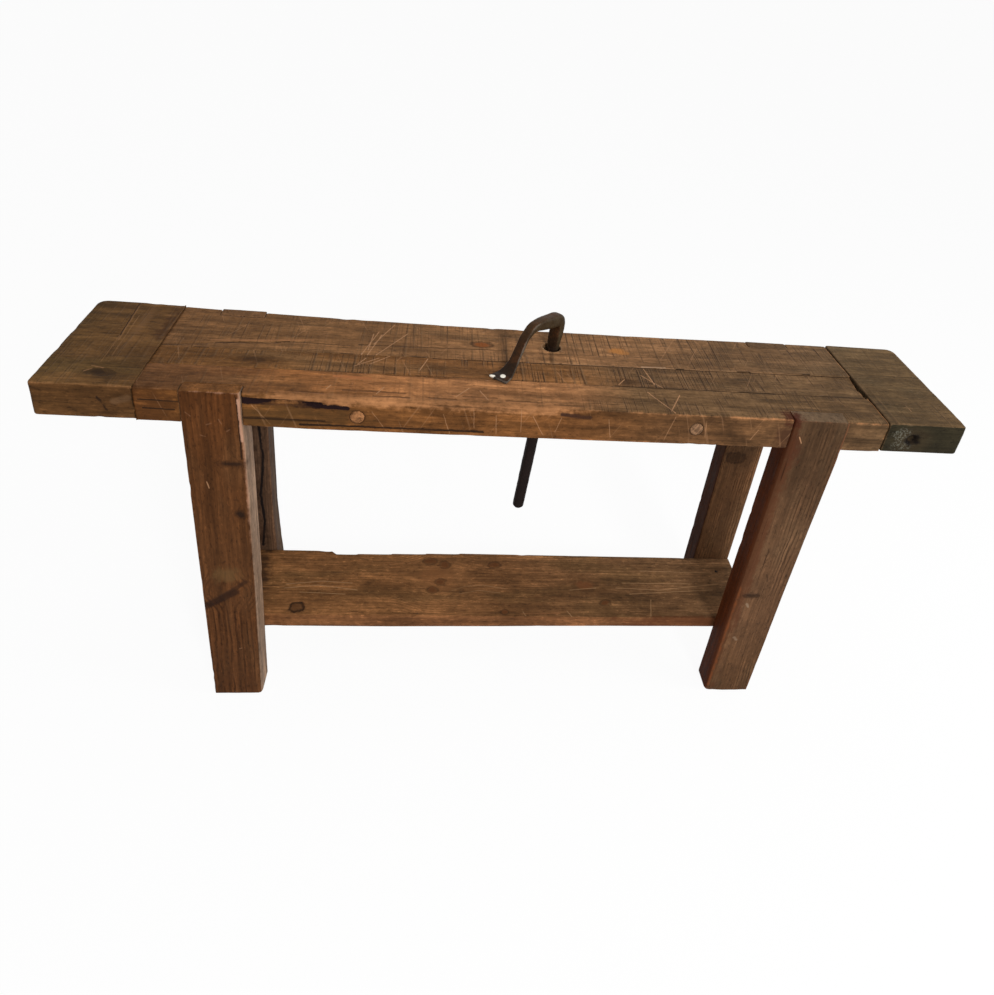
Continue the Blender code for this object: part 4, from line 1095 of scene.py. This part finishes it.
backRightLeg = {
    "node": "back_right_leg", "slot": "leg_wood",
    "shape": {**legShape, "seed": 24, "leans": [("+z", "x", [(0.2, 0.0), (0.71, 0.003)], 0.03)]},
    "finish": {
        **legFinish, "seed": 9.0, "rings": 0.55, "pitch": 0.007, "wander": 0.04,
        "tint": [
            (0.0, (0.152, 0.071, 0.031)), (0.45, (0.148, 0.069, 0.03)), (0.66, (0.11, 0.056, 0.027)),
            (0.8, (0.11, 0.056, 0.027))],
        # painted shade: the face turned to -X, away from the light, is painted much darker
        "endTint": (0.14, 0.08, 0.04), "faces": [("x", -1, even((0.04, 0.011, 0.004)), 0.95)],
        "knots": [{"at": (0.543, legBack, 0.517), "size": (0.022, 0.03, 0.016), "dark": 0.4, "push": 0.9}]}}

makeTimber("frontLeftLeg", frontLeftLeg)
makeTimber("frontRightLeg", frontRightLeg)
makeTimber("backLeftLeg", backLeftLeg)
makeTimber("backRightLeg", backRightLeg)


# shelf and bearers

redKnot = {"dark": 0.3, "glow": 0.8, "glowTint": (0.16, 0.056, 0.018), "ring": 0.45, "halo": 0.15}


def redKnots(*places):
    return [{"at": (x, y, shelfTop), "size": (wide, deep, 0.05), **redKnot} for x, y, wide, deep in places]


shelfBoard = {
    "node": "shelf_board", "slot": "shelf_wood",
    "shape": {
        "grain": "x", "seed": 31, "arris": 0.0012, "bruises": 20, "grid": 0.0027,
        "leans": [
            ("-z", "x", [
                (-0.6, -0.003), (-0.3, -0.004), (0.0, -0.001), (0.2, 0.002), (0.6, 0.004)], 0.012)]},
    "finish": {
        "seed": 10.0, "streak": 2.0, "mottle": 2.4, "fibre": 1.3, "rings": 0.25, "pitch": 0.009,
        "wander": 0.034, "heart": (-1.4, 0.0), "glints": 0.5,
        "tint": [
            (-0.64, (0.228, 0.101, 0.037)), (-0.3, (0.228, 0.101, 0.037)), (0.0, (0.178, 0.08, 0.031)),
            (0.6, (0.16, 0.085, 0.04))],
        "cool": (0.13, 0.07, 0.027), "coolShare": 0.45, "worn": (0.23, 0.095, 0.038), "wornShare": 0.35,
        "faces": [("y", -1, even((0.172, 0.07, 0.027)), 0.85)], "endTint": (0.12, 0.06, 0.028),
        "knots": [
            {
                "at": (-0.47, -0.079, shelfTop), "size": (0.016, 0.014, 0.05), "dark": 0.25, "ring": 0.85,
                "glow": 0.6, "glowTint": (0.11, 0.045, 0.018)},
            {
                "at": (-0.16, 0.022, shelfTop), "size": (0.05, 0.056, 0.05), "dark": 0.0, "glow": 0.55,
                "halo": 0.0, "glowTint": (0.235, 0.098, 0.036), "ring": 0.0},
            *redKnots(
                (-0.177, 0.072, 0.016, 0.012), (-0.142, 0.06, 0.014, 0.012), (-0.151, 0.003, 0.013, 0.011),
                (-0.17, -0.023, 0.013, 0.01), (-0.018, 0.063, 0.015, 0.011), (0.0, -0.088, 0.009, 0.008),
                (0.247, -0.057, 0.014, 0.01)),
            {
                "at": (0.204, 0.0, shelfTop), "size": (0.03, 0.017, 0.05), "dark": 0.1, "ring": 0.2,
                "glow": 0.6, "glowTint": (0.19, 0.066, 0.024)}],
        "strokes": [
            *marks(
                "shelf", 0.0016, 0.75, (0.34, 0.19, 0.09), 0.0, (-0.508, -0.0226, -0.434, -0.012),
                (-0.434, -0.012, -0.343, -0.0258), (-0.506, -0.0102, -0.427, 0.0007),
                (-0.427, 0.0007, -0.357, -0.0042), (-0.471, -0.0342, -0.369, -0.0386),
                (0.281, -0.0084, 0.393, -0.013), (0.393, -0.013, 0.552, 0.01), (0.3, 0.0085, 0.477, 0.0086),
                (0.313, -0.0274, 0.53, -0.0106), (0.355, 0.0507, 0.547, 0.048),
                (0.148, -0.0832, 0.158, -0.1), (0.043, -0.0874, 0.049, -0.099),
                (0.362, -0.046, 0.351, -0.0962), (0.164, -0.017, 0.23, -0.0093)),
            *marks(
                "shelf", 0.0014, 0.5, (0.34, 0.19, 0.09), 0.0, (-0.123, -0.0243, -0.092, -0.01),
                (-0.092, -0.01, -0.05, -0.005), (-0.05, -0.005, 0.007, -0.016),
                (-0.105, -0.034, -0.06, -0.022), (-0.06, -0.022, -0.008, -0.029)),
            *marks("shelf", 0.002, 0.6, (0.26, 0.11, 0.045), 0.0, (0.04, -0.092, 0.13, -0.09))],
        "stainsAndShadows": [
            # painted shadow: the front-left leg's shadow on the shelf's left end, painted as a dark patch
            ((-0.575, 0.02, shelfTop), (0.03, 0.1, 0.02), (0.028, 0.014, 0.008), 0.8),
            ((0.45, -0.101, 0.172), (0.2, 0.008, 0.03), (0.11, 0.036, 0.014), 0.7)]}}

bearerShape = {"grain": "y", "arris": 0.0016, "bruises": 4, "grid": 0.0027}
bearerFinish = {
    "tint": even((0.085, 0.042, 0.021)), "rings": 0.3, "heart": (-1.0, 0.2), "endTint": (0.075, 0.04, 0.02)}
leftBearer = {
    "node": "left_bearer", "slot": "leg_wood", "shape": {**bearerShape, "seed": 41},
    "finish": {**bearerFinish, "seed": 11.0}}
rightBearer = {
    "node": "right_bearer", "slot": "leg_wood", "shape": {**bearerShape, "seed": 42},
    "finish": {**bearerFinish, "seed": 12.0}}

makeTimber("shelfBoard", shelfBoard)
makeTimber("leftBearer", leftBearer)
makeTimber("rightBearer", rightBearer)


# round pieces on straight axes: dowels, pegs and nails

def turnedTree():
    tree, graph, given = newTree("turned", [
        ("Sides", "Int"), ("Fuzz", "Float"), ("Seed", "Float"), ("Finish", "Material")])
    spines, sides, fuzz, seed, finish = given
    curves = graph.node("GeometryNodeMeshToCurve", None, {"Mesh": spines})
    ring = graph.node("GeometryNodeCurvePrimitiveCircle", None, {"Resolution": sides, "Radius": 1.0})
    size = graph.node("GeometryNodeInputNamedAttribute", {"data_type": "FLOAT"}, {"Name": "size"})
    tubes = graph.node("GeometryNodeCurveToMesh", None, {
        "Curve": curves, "Profile Curve": ring, "Scale": size, "Fill Caps": True})
    rough = graph.noise(graph.node("GeometryNodeInputPosition"), 160.0, 2.0, 0.6, 0.0, seed)
    closeTree(graph, pushed(graph, tubes, rough * fuzz), finish)
    return tree


turned = turnedTree()


def spineMesh(label, spindles):
    # one chain of points for each piece, with its radius at each
    points, edges, sizes = [], [], []
    for start, way, outline in spindles:
        first = len(points)
        for distance, radius in outline:
            points.append(start + way * distance)
            sizes.append(radius)
        edges += [(index, index + 1) for index in range(first, len(points) - 1)]
    mesh = bpy.data.meshes.new(label)
    mesh.from_pydata([tuple(point) for point in points], edges, [])
    mesh.attributes.new("size", "FLOAT", "POINT").data.foreach_set("value", sizes)
    return mesh


def makeTurned(label, turnedSet):
    spindles = []
    axis = "xyz".index(turnedSet["axis"])
    for node in turnedSet["nodes"]:
        low, high = (np.array(corner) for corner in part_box(node))
        start = (low + high) / 2
        way = np.zeros(3)
        outward = turnedSet["outward"](start)
        way[axis] = -outward
        start[axis] = (high if outward > 0 else low)[axis]
        wide = (high - low)[(axis + 1) % 3] / 2
        spindles.append((start, way, turnedSet["outline"](wide, (high - low)[axis])))
    piece = newPiece(label, spineMesh(label, spindles))
    dress(piece, turned, {
        "Sides": turnedSet["sides"], "Fuzz": turnedSet["fuzz"], "Seed": turnedSet["seed"],
        "Finish": turnedSet["finish"]})
    reworked(piece.data, lambda bm: bmesh.ops.recalc_face_normals(bm, faces=bm.faces))
    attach(piece, "bench")
    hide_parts(*turnedSet["nodes"])
    print("turned:", label, len(piece.data.polygons), "faces")


def pegOutline(radius, length):
    # a sawn end with its rim broken, and the same at the far end
    end = [(0.0, 0.03), (0.0, 0.35), (0.0001, 0.68), (0.0005, 0.90), (0.0016, 1.0)]
    middle = [(length * part, 1.0) for part in (0.1, 0.25, 0.5, 0.75, 0.9)]
    back = [(length - distance, share) for distance, share in reversed(end)]
    return [(distance, radius * share) for distance, share in end + middle + back]


def nailOutline(radius, length):
    # rose head, square neck and tapering shank
    return [(0.0, radius * 0.05), (0.0002, radius * 0.45), (0.0008, radius * 0.85), (0.0014, radius),
            (0.0020, radius * 0.95), (0.0021, radius * 0.45), (0.020, radius * 0.40),
            (length - 0.004, radius * 0.2), (length, radius * 0.03)]


topDowels = {
    "nodes": ["left_top_dowel", "right_top_dowel"], "axis": "y", "outward": lambda start: -1,
    "outline": pegOutline, "sides": 40, "fuzz": 0.0008, "seed": 51.0, "slot": "peg_wood",
    "finish": Timber("dowelFinish", {
        "grain": "y", "seed": 13.0, "coolShare": 0.2, "scratches": 0.3, "bump": 1.0,
        "tint": [
            (-0.4, (0.318, 0.14, 0.056)), (-0.2, (0.318, 0.14, 0.056)), (0.2, (0.19, 0.103, 0.055)),
            (0.4, (0.19, 0.103, 0.055))]}).material}
bearerPegs = {
    "nodes": [
        "front_left_bearer_peg", "front_right_bearer_peg", "back_left_bearer_peg", "back_right_bearer_peg"],
    "axis": "x", "outward": lambda start: math.copysign(1, start[0]), "outline": pegOutline, "sides": 24,
    "fuzz": 0.0006, "seed": 52.0, "slot": "peg_wood",
    "finish": Timber("pegFinish", {"grain": "x", "seed": 14.0, "tint": even((0.17, 0.085, 0.04))}).material}


# iron: dark patina over forged metal, bright where it rubs, with painted highlights on the pad and a painted
# lit side

plainIron = {
    "tint": even((0.020, 0.011, 0.008)),                                      # along z
    "rust": (0.086, 0.031, 0.009), "rustShare": 0.6,
    "litSideGrey": (0.074, 0.051, 0.026), "greyFrom": 0.80,                          # paler colour painted on faces turned to +X, above this height: painted light from the right
    "bright": (0.92, 0.86, 0.74), "edgeShine": 0.2,
    "paintedGlints": [],                                                             # painted highlights standing for reflections: (spot, size, share)
    "dim": 0.58, "rough": 0.50, "bump": 0.6, "bumpDepth": 0.0006, "specular": 0.09,
    "seed": 0.0}


def ironMaterial(name, finish):
    finish = {**plainIron, **finish}
    material = bpy.data.materials.new(name)
    material.use_nodes = True
    graph = Graph(material.node_tree)
    seed = finish["seed"]
    place = graph.node("ShaderNodeTexCoord", None, None, "Object")
    height = graph.split(place)[2]
    facing = graph.split(graph.node("ShaderNodeNewGeometry", None, None, "Normal"))
    edge = graph.node("ShaderNodeAttribute", {"attribute_name": "edge"}, None, "Fac")
    broad = graph.noise(place, 34.0, 4.0, 0.6, 0.3, seed)
    speck = graph.noise(place, 240.0, 3.0, 0.7, 0.0, seed + 2.0)
    pits = graph.noise(place, 520.0, 2.0, 0.6, 0.0, seed + 5.0)
    above = height.ease(finish["greyFrom"] - 0.01, finish["greyFrom"] + 0.015)
    colour = graph.ramp(height, finish["tint"])
    colour = graph.mix((broad + speck * 0.4).ease(0.0, 0.20) * finish["rustShare"] * above, colour,
                       rgba(finish["rust"]))
    # painted light: faces turned to +X above the top are painted paler, as if lit from the right
    side = facing[0].ease(0.20, 0.75) * above * (broad * 1.5 + 0.8)
    colour = graph.mix(side.atLeast(0.0).atMost(1.0), colour, rgba(finish["litSideGrey"]))
    tone = speck * 1.6 + pits * 0.8 + broad * 1.2 - finish["dim"]
    colour = graph.scaled(colour, math.e ** tone)
    rubAndGlint = (edge + speck * 0.8 + broad * 1.2).ease(0.75, 1.1) * finish["edgeShine"]
    # painted highlights: near-white spots mixed in where the pad shows reflections
    for at, size, share in finish["paintedGlints"]:
        far = graph.nearness(place, at, size) + speck * 0.5 + broad * 0.4
        rubAndGlint = rubAndGlint.atLeast(far.ease(1.05, 0.75) * share)
    colour = graph.mix(rubAndGlint, colour, rgba(finish["bright"]))
    rough = finish["rough"] + speck * 0.35 + broad * 0.2 - rubAndGlint * 0.15
    depth = speck * 0.6 + pits * 0.4 + broad * 0.5
    bump = graph.node("ShaderNodeBump", None, {
        "Strength": finish["bump"], "Distance": finish["bumpDepth"], "Height": depth})
    skin = graph.node("ShaderNodeBsdfPrincipled", None, {
        "Base Color": colour, "Roughness": rough.atLeast(0.2).atMost(0.9), "Metallic": rubAndGlint * 0.5,
        "Normal": bump, "Specular IOR Level": finish["specular"]})
    graph.node("ShaderNodeOutputMaterial", None, {"Surface": skin})
    return material


shelfNails = {
    "nodes": [
        "left_front_shelf_nail", "left_back_shelf_nail", "right_front_shelf_nail", "right_back_shelf_nail"],
    "axis": "z", "outward": lambda start: 1, "outline": nailOutline, "sides": 20, "fuzz": 0.0006,
    "seed": 53.0, "slot": "nail_iron",
    "finish": ironMaterial("nailIron", {"seed": 3.0, "edgeShine": 0.0, "tint": even((0.045, 0.028, 0.02))})}

makeTurned("topDowels", topDowels)
makeTurned("bearerPegs", bearerPegs)
makeTurned("shelfNails", shelfNails)


# holdfast: the forging smoothed, with hammer flats on the arm

def forgedTree():
    tree, graph, given = newTree("forged", [
        ("Smooth", "Int"), ("Hammer", "Float"), ("Seed", "Float"), ("Finish", "Material")])
    solid, smooth, hammer, seed, finish = given
    spot = graph.node("GeometryNodeInputPosition")
    edgeless = 14       # rounds that smooth the edges right away
    settled, broad = (
        graph.node("GeometryNodeBlurAttribute", {"data_type": "FLOAT_VECTOR"}, {
            "Value": spot, "Iterations": rounds}) for rounds in (smooth, edgeless))
    calm = graph.node("GeometryNodeSetPosition", None, {"Geometry": solid, "Position": settled})
    out = graph.node("GeometryNodeInputNormal")
    proud = graph.vector("DOT_PRODUCT", graph.vector("SUBTRACT", spot, broad), out, 1)
    marked = graph.node("GeometryNodeStoreNamedAttribute", {"data_type": "FLOAT"}, {
        "Geometry": calm, "Name": "edge", "Value": proud.ease(0.0, 0.0009)})
    flats = graph.noise(spot, 70.0, 1.0, 0.4, 0.2, seed)
    pits = graph.noise(spot, 300.0, 2.0, 0.6, 0.0, seed + 3.0)
    rise = flats * hammer + pits * (hammer * 0.25)
    closeTree(graph, pushed(graph, marked, rise), finish)
    return tree


holdfast = {
    "grid": 0.0013, "smooth": 3, "hammer": 0.0012, "seed": 61.0,
    "finish": {
        "seed": 4.0, "edgeShine": 0.06,
        "tint": [
            (0.38, (0.019, 0.01, 0.008)), (0.79, (0.019, 0.01, 0.008)), (0.815, (0.034, 0.017, 0.008)),
            (0.86, (0.054, 0.023, 0.008)), (0.9, (0.092, 0.044, 0.015))],
        # painted highlights: the two bright reflections on the pad
        "paintedGlints": [
            ((-0.0866, -0.0631, 0.811), (0.008, 0.005, 0.006), 1.0),
            ((-0.0637, -0.0626, 0.811), (0.006, 0.0075, 0.006), 1.0)]}}


def makeHoldfast():
    piece = onGrid(solidCopy("forgedHoldfast", "holdfast"), holdfast["grid"])
    dress(piece, forgedTree(), {
        "Smooth": holdfast["smooth"], "Hammer": holdfast["hammer"], "Seed": holdfast["seed"],
        "Finish": ironMaterial("forgedIron", holdfast["finish"])})
    piece.data.shade_smooth()
    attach(piece, "holdfast")
    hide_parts("holdfast")
    print("holdfast:", len(piece.data.polygons), "faces")


makeHoldfast()
